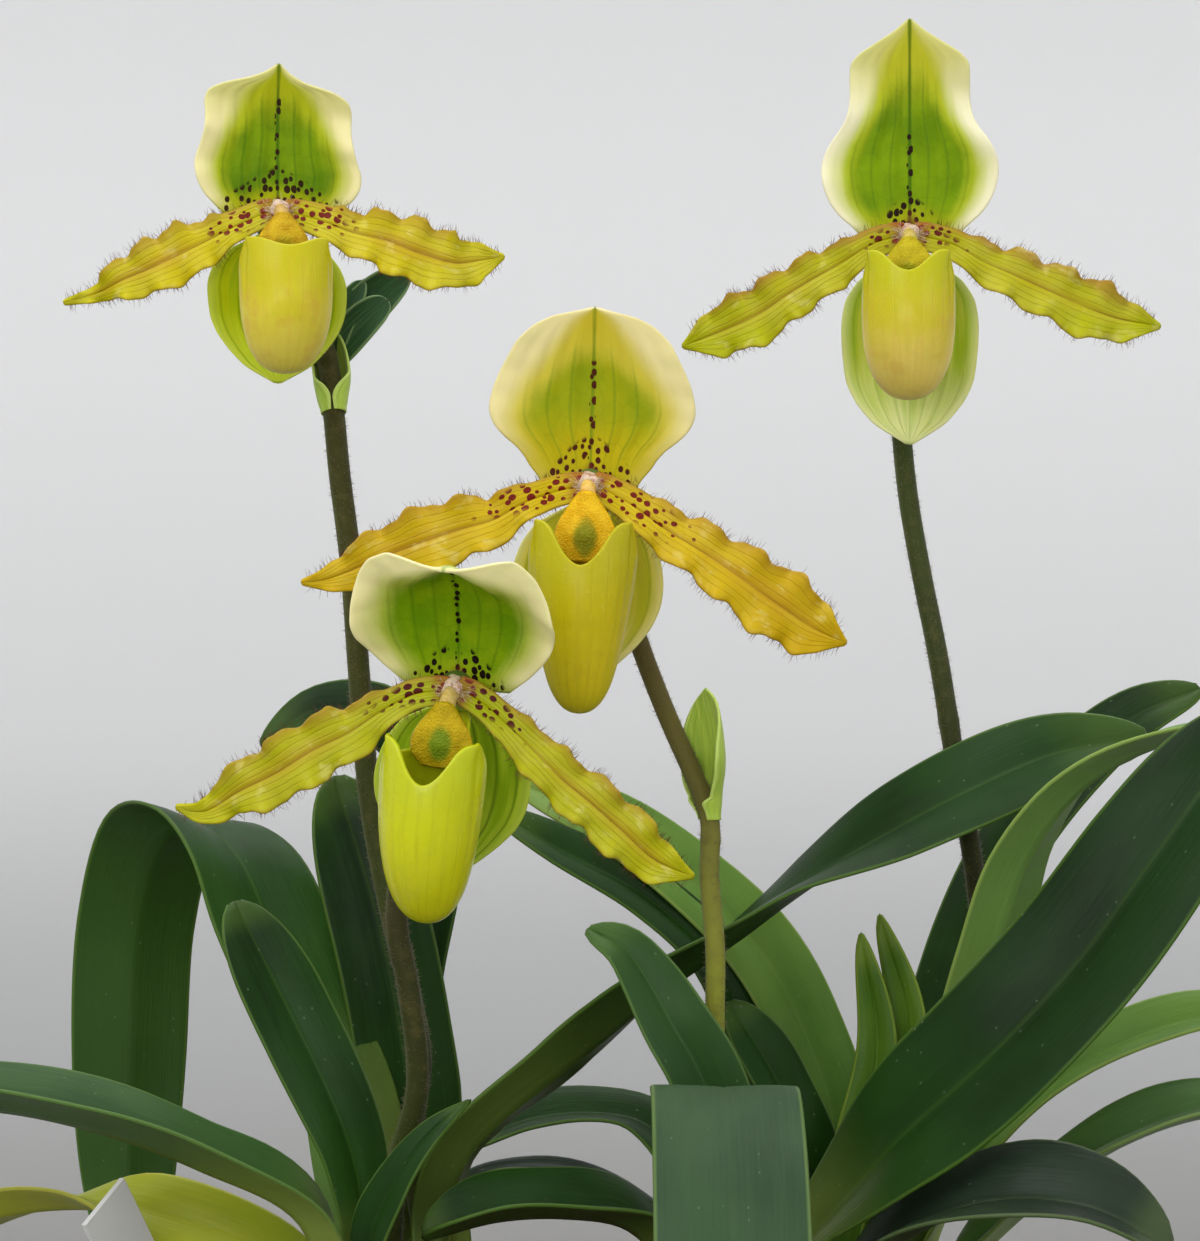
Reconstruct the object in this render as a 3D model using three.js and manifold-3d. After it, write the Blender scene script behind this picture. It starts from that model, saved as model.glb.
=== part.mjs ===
// A slipper orchid (Paphiopedilum) in flower, growing in a round plastic pot.
//
// Four growths stand in bark. Each has a short stem that carries strap leaves round its foot and runs up
// into one hairy flower stalk with a single bloom. A bloom has a broad dorsal sepal above, two waved petals
// at the sides, a joined lower sepal behind, a slipper-shaped lip that is a real open pouch, and a shield
// on a short column over the pouch's mouth. A bract stands where each flower stalk leaves the stem.
//
// Millimetres, +Z up, origin at the centre of the pot's flat underside. The blooms look along -Y.
import * as THREE from "three";
import { mergeVertices } from "three/addons/utils/BufferGeometryUtils.js";
import Module from "manifold-3d";

const wasm = await Module();
wasm.setup();

// ---------------------------------------------------------------- driving dimensions

const GAP = 0.35; // clearance between pieces that touch
const LEAF_THICK = 1.2;
const PETAL_THICK = 0.8;
const LIP_THICK = 0.9;
const SHIELD_THICK = 1.3;

// rim and foot are outer radii, band is the height of the thicker band under the rim, and step how far the
// band stands out from the wall.
const POT = { height: 105, rim: 88, foot: 62, wall: 2.4, floor: 3, band: 13, step: 3.4, sides: 28 };
const DRAIN = { count: 5, radius: 4, ring: 36 };
const BARK = { top: 95, bump: 2.2, lump: 1.76, clear: 1.2, edgeDrop: 1.5, rings: 5, sides: 24 };

// The short stem at the foot of a growth: a cone that stands in the bark.
const FOOT = { radius: 6, neck: 2.6, height: 26, sunk: 14, sides: 10, hole: 6.5 };
const TIER = 3.3; // height from one leaf's foot to the next one's
const LEAF_FOOT = { halfWidth: 5, fold: 42 }; // every leaf starts narrow and folded

const GROWTHS = {
  left: { at: [-38, -12] },
  back: { at: [-34, 24] },
  centre: { at: [22, -1] },
  right: { at: [49, 15] },
};

const COLOUR = {
  leaf: 0x2c5230,
  paleLeaf: 0x5c8338,
  yellowLeaf: 0x8f9a2a,
  stalk: 0x4c5230,
  bract: 0x6f9a3e,
  darkBract: 0x24502c,
  dorsal: 0xb9c65a,
  petal: 0xb8ab1c,
  synsepal: 0x9ab648,
  lip: 0xc8c21e,
  shield: 0xc7a92a,
  pot: 0x1d1e20,
  bark: 0x4a3324,
  label: 0xe9e9e6,
};

// Leaves. turn is where round the growth's foot the leaf starts, in degrees from +X towards +Y, and tier
// counts up from the lowest leaf. path is the midrib after the foot, and face is the way the upper side
// looks, spread evenly along the leaf from its foot to its tip. fold is the V of the blade, in degrees, and
// ramp is the share of the length over which the blade widens to its full width, and tip the share at which
// it starts to narrow again.
const LEAVES = [
  {
    name: "leaf_left_yellow", growth: "left", turn: 190, tier: 0, width: 15, fold: 12, colour: "yellowLeaf",
    path: [[-56, -14, 122], [-67, -13, 128], [-80, -12, 132], [-93, -12, 134], [-107, -13, 133],
      [-120, -14, 129]],
    face: [[1, 0, 0.4], [0.3, -0.6, 0.8], [0.1, -0.9, 0.5], [0, 0.3, 1], [0, 0.8, 0.6]],
  },
  {
    name: "leaf_left_long_low", growth: "left", turn: 205, tier: 1, width: 23, fold: 30, colour: "leaf",
    path: [[-53, -23, 133], [-70, -31, 144], [-87, -34, 151], [-105, -35, 155], [-121, -34, 155],
      [-136, -29, 149]],
    face: [[1, 0.1, 0.4], [0.5, -0.1, 0.9], [0.2, -0.1, 1], [0, -0.1, 1], [-0.3, -0.1, 1]],
  },
  {
    name: "leaf_left_basal", growth: "left", turn: 165, tier: 2, width: 10, fold: 25, colour: "paleLeaf",
    path: [[-49, -6, 124], [-52, -4, 140], [-54, -3, 153]],
    face: [[1, 0, 0.3], [0.9, 0.4, 0.3], [0.8, 0.6, 0.2]],
  },
  {
    name: "leaf_left_upright", growth: "left", turn: 185, tier: 3.4, width: 17, ramp: 0.66, fold: 14,
    colour: "leaf",
    path: [[-43.5, -14, 131], [-45, -14, 143], [-49, -14, 154], [-57, -12, 170], [-67, -6, 188]],
    face: [[1, 0, 0.3], [0.6, -0.9, 0.3], [0.35, -1, 0.3], [0.4, -1, 0.5]],
  },
  {
    name: "leaf_left_short_front", growth: "left", turn: -75, tier: 0.4, width: 15, fold: 16, colour: "leaf",
    path: [[-40, -32, 130], [-36, -35, 141], [-30, -36, 150], [-23, -35, 156]],
    face: [[0.2, 0.8, 0.4], [-0.7, -0.2, 0.4], [-0.6, -1, 0.4], [-0.6, -1, 0.3]],
  },
  {
    name: "leaf_left_long_diagonal", growth: "left", turn: -20, tier: 2, width: 20, fold: 13, colour: "leaf",
    path: [[-28.5, -12, 129], [-25, -13, 142], [-18.5, -13, 149.5], [-7, -8, 158], [10, 1, 170.5],
      [26, 8, 181], [38, 7, 190], [52, 4, 199], [68, 1, 208], [84, 0, 215], [101, 0, 218]],
    face: [[-1, 0, 0.4], [-0.6, 0.5, 0.7], [-0.5, 0.6, 0.8], [-0.5, 0.6, 0.8], [-0.45, 0.3, 0.9],
      [-0.45, -0.1, 0.9], [-0.3, -0.7, 0.7], [0, -0.85, 0.6], [0.1, -0.85, 0.6]],
  },
  {
    name: "leaf_back_arching", growth: "back", turn: 190, tier: 0, width: 24, fold: 12, colour: "leaf",
    path: [[-46, 24, 142], [-56, 26, 163], [-64, 30, 180], [-71, 36, 193], [-80, 46, 199], [-89, 58, 195],
      [-95, 66, 178], [-97, 68, 150], [-97, 67, 124], [-95, 65, 104]],
    face: [[1, 0, 0.3], [0.5, -1, 0.4], [0.3, -0.9, 0.6], [0, 0.2, 1], [-0.1, 1, 0.2], [0, 1, 0], [0, 1, 0]],
  },
  {
    name: "leaf_back_upright", growth: "back", turn: 150, tier: 2, width: 20, fold: 15, colour: "leaf",
    path: [[-37, 29, 140], [-39, 31, 160], [-44, 33, 184], [-52, 36, 209]],
    face: [[0.8, -0.5, 0.2], [0.4, -1, 0.2], [0.2, -1, 0.1], [0.2, -1, 0.2]],
  },
  {
    name: "leaf_back_tall", growth: "back", turn: 60, tier: 1, width: 13, fold: 16, colour: "leaf",
    path: [[-35, 39, 145], [-37, 44, 165], [-34, 46, 183], [-31, 47, 198], [-34, 48, 212], [-44, 49, 221],
      [-56, 49, 222], [-67, 48, 215]],
    face: [[-0.2, -1, 0.2], [-0.2, -1, 0.2], [-0.3, -1, 0.2], [-0.4, -1, 0.3], [-0.3, -1, 0.6]],
  },
  {
    name: "leaf_centre_short", growth: "centre", turn: 225, tier: 3.2, width: 16, tip: 0.35, fold: 20,
    colour: "leaf",
    path: [[20, -13, 131], [21, -17, 147], [18, -19, 158], [13, -20, 167], [8.5, -19, 175], [4, -18, 181],
      [-2, -16, 184]],
    face: [[0.8, 0.6, 0.4], [0.4, -0.8, 0.4], [0.3, -1, 0.4], [0.3, -1, 0.5]],
  },
  {
    name: "leaf_centre_hanging", growth: "centre", turn: 270, tier: 1.8, width: 24.5, fold: 5, colour: "leaf",
    path: [[22, -20, 135], [21, -38, 154], [21, -60, 161], [21, -82, 151], [21, -97, 129], [21, -104, 104],
      [20, -106, 80]],
    face: [[0, 1, 0.3], [0, 0.9, 0.5], [0, 0.2, 1], [0, -0.5, 0.85], [0, -1, 0.3], [0, -1, 0.1], [0, -1, 0]],
  },
  {
    name: "leaf_centre_low", growth: "centre", turn: 195, tier: 1.2, width: 21, fold: 30, colour: "leaf",
    path: [[12, -9, 122], [5, -16, 131], [-6, -22, 134], [-18, -25, 134], [-31, -27, 131]],
    face: [[1, 0, 0.4], [0.4, -0.2, 0.9], [0.1, -0.25, 1], [-0.1, -0.25, 1], [-0.4, -0.2, 0.9]],
  },
  {
    name: "leaf_centre_dark_low", growth: "centre", turn: 165, tier: 0, width: 14, fold: 20, colour: "leaf",
    path: [[12, 3, 122], [4, 8, 131], [-8, 11, 135], [-19, 12, 135], [-29, 10, 132]],
    face: [[1, 0, 0.4], [0.3, 0.1, 1], [0, 0, 1], [-0.2, 0, 1]],
  },
  {
    name: "leaf_centre_thin", growth: "centre", turn: 125, tier: 1.6, width: 14, fold: 22, colour: "leaf",
    path: [[17, 10, 122], [16, 18, 135], [8, 24, 143], [-3, 26, 144.5], [-15, 25, 143], [-25, 20, 139]],
    face: [[0.7, -0.7, 0.5], [0.3, -0.5, 1], [0, -0.4, 1], [-0.1, -0.4, 1]],
  },
  {
    name: "leaf_right_stub", growth: "right", turn: 200, tier: 2.2, width: 13, fold: 18, colour: "leaf",
    path: [[39, 8, 139], [32, 8, 155], [24, 9, 168]],
    face: [[1, 0, 0.3], [0.6, -0.8, 0.4], [0.5, -1, 0.5]],
  },
  {
    name: "leaf_right_cross_upper", growth: "right", turn: 150, tier: 1, width: 17, fold: 14,
    colour: "paleLeaf",
    path: [[45, 27, 140], [38, 28, 163], [29, 28, 178], [15, 29, 191], [0, 30, 201], [-16, 30, 208]],
    face: [[0.9, -0.4, 0.3], [0.5, -0.9, 0.5], [0.4, -1, 0.6], [0.3, -0.9, 0.8], [0.2, -0.8, 0.9]],
  },
  {
    name: "leaf_right_cross_lower", growth: "right", turn: 180, tier: 0, width: 14, fold: 16, colour: "leaf",
    path: [[33, 20, 141], [28, 22, 160], [21, 22, 175], [8, 22, 187], [-8, 20, 196], [-20, 19, 203]],
    face: [[1, 0, 0.3], [0.6, -0.8, 0.5], [0.4, -0.8, 0.7], [0.3, -0.7, 0.8], [0.2, -0.7, 0.9]],
  },
  {
    name: "leaf_centre_broad", growth: "centre", turn: -25, tier: 2.4, width: 26.5, tip: 0.58, fold: 14,
    colour: "leaf",
    path: [[38, -13, 127], [53, -24, 147], [69, -31, 163.5], [84, -34, 180.5], [97, -36, 199],
      [108, -36, 214], [121, -33, 226]],
    face: [[-0.9, 0.4, 0.3], [-0.9, -0.4, 0.5], [-0.6, -1, 0.5], [-0.5, -1, 0.4], [-0.4, -1, 0.4],
      [-0.2, -1, 0.7]],
  },
  {
    name: "leaf_right_turned", growth: "right", turn: -30, tier: 4, width: 14, fold: 14, colour: "paleLeaf",
    path: [[61, 4, 138], [67, -3, 158], [72, -10, 179], [77, -15, 197], [86, -19, 210], [97, -20, 217],
      [110, -18, 220], [124, -14, 217]],
    face: [[-0.8, 0.5, 0.3], [-0.4, 0.9, 0.3], [-0.3, 1, 0.3], [-0.3, 0.9, 0.4], [-0.2, 0.4, 0.9],
      [0, 0.1, 1], [0.3, 0, 1]],
  },
  {
    name: "leaf_right_tall_back", growth: "right", turn: 40, tier: 2.2, width: 15, fold: 14, colour: "leaf",
    path: [[60, 28, 138], [66, 35, 158], [73, 40, 178], [82, 44, 195], [95, 46, 211], [107, 46, 221],
      [119, 46, 226]],
    face: [[-0.7, -0.6, 0.3], [-0.5, -1, 0.3], [-0.5, -1, 0.3], [-0.5, -1, 0.4], [-0.4, -0.9, 0.6]],
  },
  {
    name: "leaf_right_side", growth: "right", turn: 8, tier: 1.2, width: 14, fold: 24, colour: "paleLeaf",
    path: [[66, 8, 132], [77, 3, 147], [89, -1, 157.5], [101, -3, 163.5], [114, -3, 166.5], [130, 0, 165]],
    face: [[-1, 0, 0.3], [-0.6, -0.4, 0.8], [-0.3, -0.5, 0.9], [0, -0.5, 1], [0.3, -0.4, 1]],
  },
  {
    name: "leaf_right_low_side", growth: "right", turn: -15, tier: 0, width: 18, fold: 24, colour: "leaf",
    path: [[66, 0, 119], [80, -10, 135], [93, -16, 145.5], [108, -19, 151.5], [125, -18, 152]],
    face: [[-1, 0.2, 0.3], [-0.5, -0.2, 0.9], [-0.2, -0.3, 1], [0, -0.3, 1], [0.3, -0.2, 1]],
  },
  {
    name: "leaf_centre_low_front", growth: "centre", turn: -48, tier: 0.2, width: 25, fold: 22,
    colour: "leaf",
    path: [[42, -20, 120], [56, -32, 133.5], [70, -41, 139.5], [84, -46, 139], [97, -48, 132.5]],
    face: [[-0.7, 0.7, 0.4], [-0.4, 0.1, 0.9], [0, -0.4, 0.9], [0.1, -0.45, 0.9], [0.2, -0.4, 0.9]],
  },
];

// The young shoot beside the right growth: two narrow leaves joined at their feet.
const SHOOT = {
  growth: "right",
  foot: [41, -1, 92],
  hole: 5.2,
  width: 9,
  fold: 20,
  blades: [
    { path: [[42, 0, 112], [47, 3, 138], [52, 7, 160], [49, 8, 181]] },
    { path: [[42, 2, 112], [50, 8, 138], [58, 12, 163], [53, 14, 184]] },
  ],
};

// Blooms. at is the centre where the parts of a bloom meet. yaw turns it about Z, nod tips it forwards and
// roll leans it to one side, in degrees. lean is how far the dorsal sepal's foot and tip lean forwards, cup
// is how far its sides come forwards, and wave and waves are the ripple of its edge. half lists half-widths
// spread evenly from foot to tip. Petal rows are [along X, up Z, forwards, width] from the centre, in the
// plant's own axes. In a lip, top, notch and bottom are heights of the rim's horns, its front notch and the
// toe; half and low are half-widths at the rim and lower down; depth is half the way from front to back.
const BLOOMS = [
  {
    name: "bloom_upper_left", at: [-60.4, 12, 317], yaw: 11, nod: 2, roll: 0,
    dorsal: {
      length: 28.3, lean: [-8, 16], cup: 0.12, wave: 0.7, waves: 2.5,
      half: [10.4, 13.8, 15.4, 15.6, 14.7, 14, 13.6, 13.3, 12.6, 9.8, 0.6],
    },
    petals: [
      [[2.4, -0.3, 1.2, 5.4], [8.1, -1.9, 1.5, 6.4], [13.8, -4.1, 2.5, 8], [20.4, -5.8, 3.5, 10.4],
        [27, -8.3, 4, 11.6], [33.2, -10, 4, 10.8], [38.2, -9.4, 3, 8], [42.2, -8.6, 2, 1.6]],
      [[-2.4, -0.3, 1.2, 5.4], [-7, -2.3, 1.5, 6], [-12.6, -5.3, 2.5, 8.4], [-18.3, -8.3, 3.5, 10.6],
        [-24, -11.1, 4, 9.8], [-29, -13.2, 4, 7.4], [-34.3, -15.7, 3, 2.8], [-40.2, -17.2, 2, 1.8]],
    ],
    synsepal: { length: 28, half: [3.5, 9.5, 12, 13, 13, 12.6, 11, 8.5, 5, 0.8] },
    lip: { top: -6.2, notch: -7.8, bottom: -30.8, half: 7.9, low: 8.2, depth: 8, forward: 11 },
    shield: { width: 9, height: 7.6 },
  },
  {
    name: "bloom_upper_right", at: [58, 8, 312], yaw: -6, nod: 2, roll: 0,
    dorsal: {
      length: 41, lean: [-6, 10], cup: 0.1, wave: 0.8, waves: 2.5,
      half: [9.4, 14.2, 16.1, 16.3, 15.2, 13.2, 11.4, 10.7, 10.6, 6.2, 0.6],
    },
    petals: [
      [[2.4, -0.2, 1.2, 5.4], [8.1, -1.8, 1.5, 6], [13.7, -5.1, 2.5, 8], [19.3, -7.7, 3.5, 9.6],
        [24.9, -10.3, 4, 10], [31.5, -13.3, 4, 10.8], [38, -15.6, 3.5, 7.6], [46.5, -17.1, 2, 1.8]],
      [[-2.4, -0.2, 1.2, 5.4], [-7.3, -1.8, 1.5, 6], [-12.6, -5.1, 2.5, 8], [-17.8, -8.1, 3.5, 9],
        [-22.9, -11.2, 4, 9.6], [-28.5, -15, 4, 10.4], [-34.7, -17.8, 3.5, 8.6], [-42.4, -20.8, 2, 1.8]],
    ],
    synsepal: { length: 34.8, half: [3.5, 9.5, 12, 12.7, 12.7, 12.4, 11.2, 8.8, 5.2, 0.8] },
    lip: { top: -4, notch: -8, bottom: -31, half: 7.7, low: 8.4, depth: 8.4, forward: 11.5 },
    shield: { width: 9, height: 7.6 },
  },
  {
    name: "bloom_middle", at: [-2, -22, 264], yaw: -3, nod: 6, roll: 2,
    dorsal: {
      length: 31.8, lean: [-8, 14], cup: 0.06, wave: 0.5, waves: 1.5,
      half: [8.4, 10.8, 13.2, 16.8, 18.3, 18, 17, 15.4, 13.2, 9.8, 0.6],
    },
    petals: [
      [[2.4, -0.5, 1.2, 5.4], [7.5, -3.4, 1.5, 6.6], [13.9, -8, 2.8, 8.8], [20.5, -12.1, 4, 9.8],
        [27.1, -16.6, 4.5, 11], [33.9, -21.4, 4, 12.4], [40.2, -25.5, 3, 10.6], [45.6, -28, 2, 2]],
      [[-2.4, -0.3, 1.2, 5.4], [-6.1, -1.2, 1.5, 5.8], [-11.6, -3.2, 2.8, 7.6], [-17, -6.2, 4, 10.2],
        [-23.2, -8, 4.5, 11.6], [-30.3, -10.4, 4, 10.8], [-39.3, -13.9, 3, 9], [-46.4, -16.6, 1.5, 5.2],
        [-51, -17.2, 0.5, 1.6]],
    ],
    synsepal: { length: 32, half: [3.5, 9.5, 12, 13.2, 13.6, 13.2, 11.8, 9.2, 5.6, 0.8] },
    lip: { top: -5.4, notch: -12.6, bottom: -39.4, half: 8.8, low: 7.2, depth: 8.6, forward: 11.5 },
    shield: { width: 10.4, height: 11 },
  },
  {
    name: "bloom_front", at: [-25, -50, 228], yaw: -10, nod: 12, roll: 6,
    dorsal: {
      length: 33, lean: [2, 92], cup: 0.34, wave: 1.6, waves: 1.5,
      half: [7, 10, 13, 15.6, 17, 17.4, 17.2, 16, 13.4, 8.4, 0.8],
    },
    petals: [
      [[2.4, -0.3, 1.4, 5], [5.6, -2.4, 1.6, 5.2], [9.7, -6.1, 2.5, 6.8], [13.9, -10.2, 3.5, 7.8],
        [18.2, -14.5, 4, 8.6], [23.3, -18.7, 4, 9], [28.7, -23.5, 3.5, 9], [34.4, -28.6, 2.5, 7],
        [40.7, -31.4, 1.5, 1.6]],
      [[-2.4, 0.1, 1.4, 5], [-6.5, -0.6, 1.6, 5.2], [-11.6, -3.1, 2.5, 7.2], [-17.5, -7, 3.5, 9.8],
        [-23.5, -9.9, 4, 10.4], [-29.4, -13.6, 4, 10], [-36.2, -17, 3, 8.4], [-42.2, -20.4, 2, 4.6],
        [-46.8, -19.7, 1, 1.4]],
    ],
    synsepal: { length: 30, half: [3.5, 9.5, 12, 13.2, 13.6, 13.2, 11.8, 9, 5.4, 0.8] },
    lip: { top: -5, notch: -11.4, bottom: -37.6, half: 8.2, low: 7.8, depth: 8.6, forward: 11.5 },
    shield: { width: 10.2, height: 9.6 },
  },
];

// Flower stalks from the foot of a growth to just behind its bloom, with the radius of the stem, and the
// bracts: base is a share of the way along the stalk.
const STALKS = [
  {
    name: "stalk_upper_left", growth: "back", bloom: 0, radius: 2.1,
    path: [[-36, 20, 140], [-34, 15, 157], [-36, 13, 170], [-40, 13, 187], [-43.6, 15, 206], [-45.6, 17, 227],
      [-47.6, 20, 251], [-50, 23.6, 268], [-51.4, 27, 280], [-52.8, 30, 290], [-56.5, 31, 300]],
  },
  {
    name: "stalk_upper_right", growth: "right", bloom: 1, radius: 1.9,
    path: [[58, 18, 136], [68, 19, 156], [73, 18, 172], [72, 16, 184], [70, 14, 198], [67, 13, 214],
      [64, 14, 233], [61, 18, 250], [59, 22, 264], [58, 27, 280], [58, 29, 295]],
  },
  {
    name: "stalk_middle", growth: "centre", bloom: 2, radius: 1.8,
    path: [[22, -6, 143], [21, -8, 164], [21, -9, 180], [20, -8, 193], [20, -6, 204], [17, -5, 212],
      [13, -4, 221], [9, -3, 231], [4, -2, 245]],
  },
  {
    name: "stalk_front", growth: "left", bloom: 3, radius: 2,
    path: [[-36.5, -19, 141], [-32.5, -24, 157], [-34, -26, 175], [-36, -26, 186], [-35, -25, 197],
      [-31, -27, 210]],
  },
];
const HUB = { radius: 3, length: 7, ovary: 2.5 }; // where the parts of a bloom join the stalk
const COLUMN = { radius: 1.7, forward: 5.8, drop: 1.6 }; // forward and drop place the shield's top
const PETAL_WAVE = { count: 5.5, height: 1.1, scallop: 0.11, cup: 0.12 };

// A bract is a sheath bent round its midrib: width is measured round the bend, wrap is how far each side
// bends where the bract is widest, in degrees, and foot says how broad it starts.
const BRACTS = [
  {
    name: "bract_upper_left", width: 12, wrap: 100, foot: 0.2, colour: "bract", thick: 0.8,
    path: [[-50.9, 30, 279], [-51.6, 32, 285], [-52.8, 33.8, 291], [-55.4, 34.9, 299]],
    face: [[0, -1, 0.2], [0, -1, 0.3], [0, -1, 0.2]],
  },
  {
    name: "bract_upper_left_dark", width: 13, wrap: 52, foot: 0.06, colour: "darkBract", thick: 0.9,
    path: [[-52, 35.4, 290.4], [-49.4, 37, 296.6], [-44, 36, 303], [-37.4, 33.4, 308.4]],
    face: [[-0.2, -0.9, -0.1], [-0.3, -0.9, -0.1], [-0.3, -0.9, -0.2]],
  },
  {
    name: "bract_upper_right", width: 11, wrap: 98, foot: 0.2, colour: "bract", thick: 0.8,
    path: [[58.4, 28.9, 276], [58.2, 31.6, 284], [58, 33.4, 292], [58, 35, 300]],
    face: [[0, -1, 0.2], [0, -1, 0.3], [0, -1, 0.2]],
  },
  {
    name: "bract_middle", width: 15, wrap: 83, foot: 0.12, colour: "bract", thick: 0.8,
    path: [[22, -4.3, 203.6], [22, -4.3, 210], [21.2, -4.8, 218.5], [19.4, -5.8, 227.3]],
    face: [[-0.8, -0.6, 0.1], [-0.8, -0.6, 0.1], [-0.7, -0.7, 0.1]],
  },
  {
    name: "bract_front", width: 11, wrap: 95, foot: 0.2, colour: "bract", thick: 0.8,
    path: [[-35.2, -22, 191], [-34, -21.8, 199], [-32.2, -21.6, 207], [-30.8, -21, 215]],
    face: [[0, -1, 0.2], [0, -1, 0.1], [0, -1, 0.1]],
  },
];

const LABEL = {
  width: 12, height: 68, point: 10, thick: 1,
  corner: [-84, -31, 142], up: [-0.35, -0.6, 1], side: [5.5, 8.2, 6.8],
};

// ---------------------------------------------------------------- small helpers

const RAD = Math.PI / 180;
const vec = (p) => new THREE.Vector3(p[0], p[1], p[2]);
const mix = (a, b, k) => a + (b - a) * k;
const ease = (a, b, x) => THREE.MathUtils.smoothstep(x, a, b);

// A smooth value read from a list that is spread evenly over 0..1.
function smoothList(values) {
  const curve = curveOf(values.map((value, i) => [i, value, 0]));
  return (s) => Math.max(curve.getPoint(Math.min(Math.max(s, 0), 1)).y, Math.min(...values));
}

function curveOf(points) {
  return new THREE.CatmullRomCurve3(points.map(vec), false, "centripetal");
}

function geometryOf(points, triangles) {
  const geometry = new THREE.BufferGeometry();
  const numbers = points.flatMap((point) => point.toArray());
  geometry.setAttribute("position", new THREE.Float32BufferAttribute(numbers, 3));
  geometry.setIndex(triangles);
  return geometry;
}

function solidOf(geometry) {
  const bare = geometry.clone();
  bare.deleteAttribute("normal");
  bare.deleteAttribute("uv");
  const merged = mergeVertices(bare, 1e-4);
  return new wasm.Manifold(
    new wasm.Mesh({
      numProp: 3,
      vertProperties: merged.attributes.position.array,
      triVerts: new Uint32Array(merged.index.array),
    }),
  );
}

// The largest body of a solid, as a geometry: a cut can leave a loose scrap.
function largestOf(solid) {
  const bodies = solid.decompose();
  const largest = bodies.reduce((a, b) => (b.volume() > a.volume() ? b : a));
  const { vertProperties, triVerts } = largest.getMesh();
  const geometry = new THREE.BufferGeometry();
  geometry.setAttribute("position", new THREE.BufferAttribute(new Float32Array(vertProperties), 3));
  geometry.setIndex(new THREE.BufferAttribute(new Uint32Array(triVerts), 1));
  return geometry;
}

function meshOf(name, geometry, colour, roughness = 0.6) {
  const material = new THREE.MeshStandardMaterial({ color: COLOUR[colour], roughness, metalness: 0 });
  const mesh = new THREE.Mesh(geometry, material);
  mesh.name = name;
  return mesh;
}

// A blade: the surface at(s, t, grow) for s along 0..1 and t across -1..1, given a thickness. Both faces are
// split into triangles alike. grow makes the larger copy that cuts a clearance into a neighbour.
function bladeOf(at, { along, across, thick, grow = 0 }) {
  const upper = [];
  const lower = [];
  const step = 1e-3;
  for (let i = 0; i <= along; i++)
    for (let j = 0; j <= across; j++) {
      const s = i / along;
      const t = -1 + (2 * j) / across;
      const point = at(s, t, grow);
      const ds = at(Math.min(s + step, 1), t, grow).sub(at(Math.max(s - step, 0), t, grow));
      const dt = at(s, Math.min(t + step, 1), grow).sub(at(s, Math.max(t - step, -1), grow));
      const end = i === 0 ? -grow : i === along ? grow : 0;
      point.addScaledVector(ds.clone().normalize(), end);
      const normal = ds.cross(dt).normalize().multiplyScalar(thick / 2 + grow);
      upper.push(point.clone().add(normal));
      lower.push(point.clone().sub(normal));
    }
  const row = across + 1;
  const below = upper.length;
  const triangles = [];
  for (let i = 0; i < along; i++)
    for (let j = 0; j < across; j++) {
      const [a, b, c, d] = [i * row + j, (i + 1) * row + j, (i + 1) * row + j + 1, i * row + j + 1];
      triangles.push(a, b, c, a, c, d);
      triangles.push(a + below, c + below, b + below, a + below, d + below, c + below);
    }
  for (let i = 0; i < along; i++) {
    const [a, b] = [i * row, (i + 1) * row];
    triangles.push(a, a + below, b + below, a, b + below, b);
    const [c, d] = [a + across, b + across];
    triangles.push(c, d + below, c + below, c, d, d + below);
  }
  for (let j = 0; j < across; j++) {
    triangles.push(j, j + 1, j + 1 + below, j, j + 1 + below, j + below);
    const [a, b] = [along * row + j, along * row + j + 1];
    triangles.push(a, b + below, b, a, a + below, b + below);
  }
  return geometryOf([...upper, ...lower], triangles);
}

// A rod of round section along a curve, with a radius for each share of the way.
function rodOf(curve, radius, { along, sides }) {
  const points = [];
  const frames = curve.computeFrenetFrames(along, false);
  for (let i = 0; i <= along; i++) {
    const centre = curve.getPointAt(i / along);
    for (let j = 0; j < sides; j++) {
      const angle = (2 * Math.PI * j) / sides;
      const arm = frames.normals[i].clone().multiplyScalar(Math.cos(angle));
      arm.addScaledVector(frames.binormals[i], Math.sin(angle));
      points.push(centre.clone().addScaledVector(arm, radius(i / along)));
    }
  }
  const triangles = [];
  for (let i = 0; i < along; i++)
    for (let j = 0; j < sides; j++) {
      const next = (j + 1) % sides;
      const [a, b, c, d] = [i * sides + j, i * sides + next, (i + 1) * sides + next, (i + 1) * sides + j];
      triangles.push(a, b, c, a, c, d);
    }
  points.push(curve.getPointAt(0), curve.getPointAt(1));
  const [start, end] = [points.length - 2, points.length - 1];
  for (let j = 0; j < sides; j++) {
    const next = (j + 1) % sides;
    triangles.push(start, next, j, end, along * sides + j, along * sides + next);
  }
  return geometryOf(points, triangles);
}

// A midrib curve with a frame at each share of the way: the tangent, the way across and the upper side.
function ribbonOf(curve, faces) {
  const faceCurve = curveOf(faces);
  return (s) => {
    const tangent = curve.getTangentAt(s);
    const side = faceCurve.getPoint(s).normalize().cross(tangent).normalize();
    return { centre: curve.getPointAt(s), side, face: tangent.clone().cross(side).normalize() };
  };
}

// ---------------------------------------------------------------- leaves

const footRadius = (height) => mix(FOOT.radius, FOOT.neck, Math.min(Math.max(height / FOOT.height, 0), 1));

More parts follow.
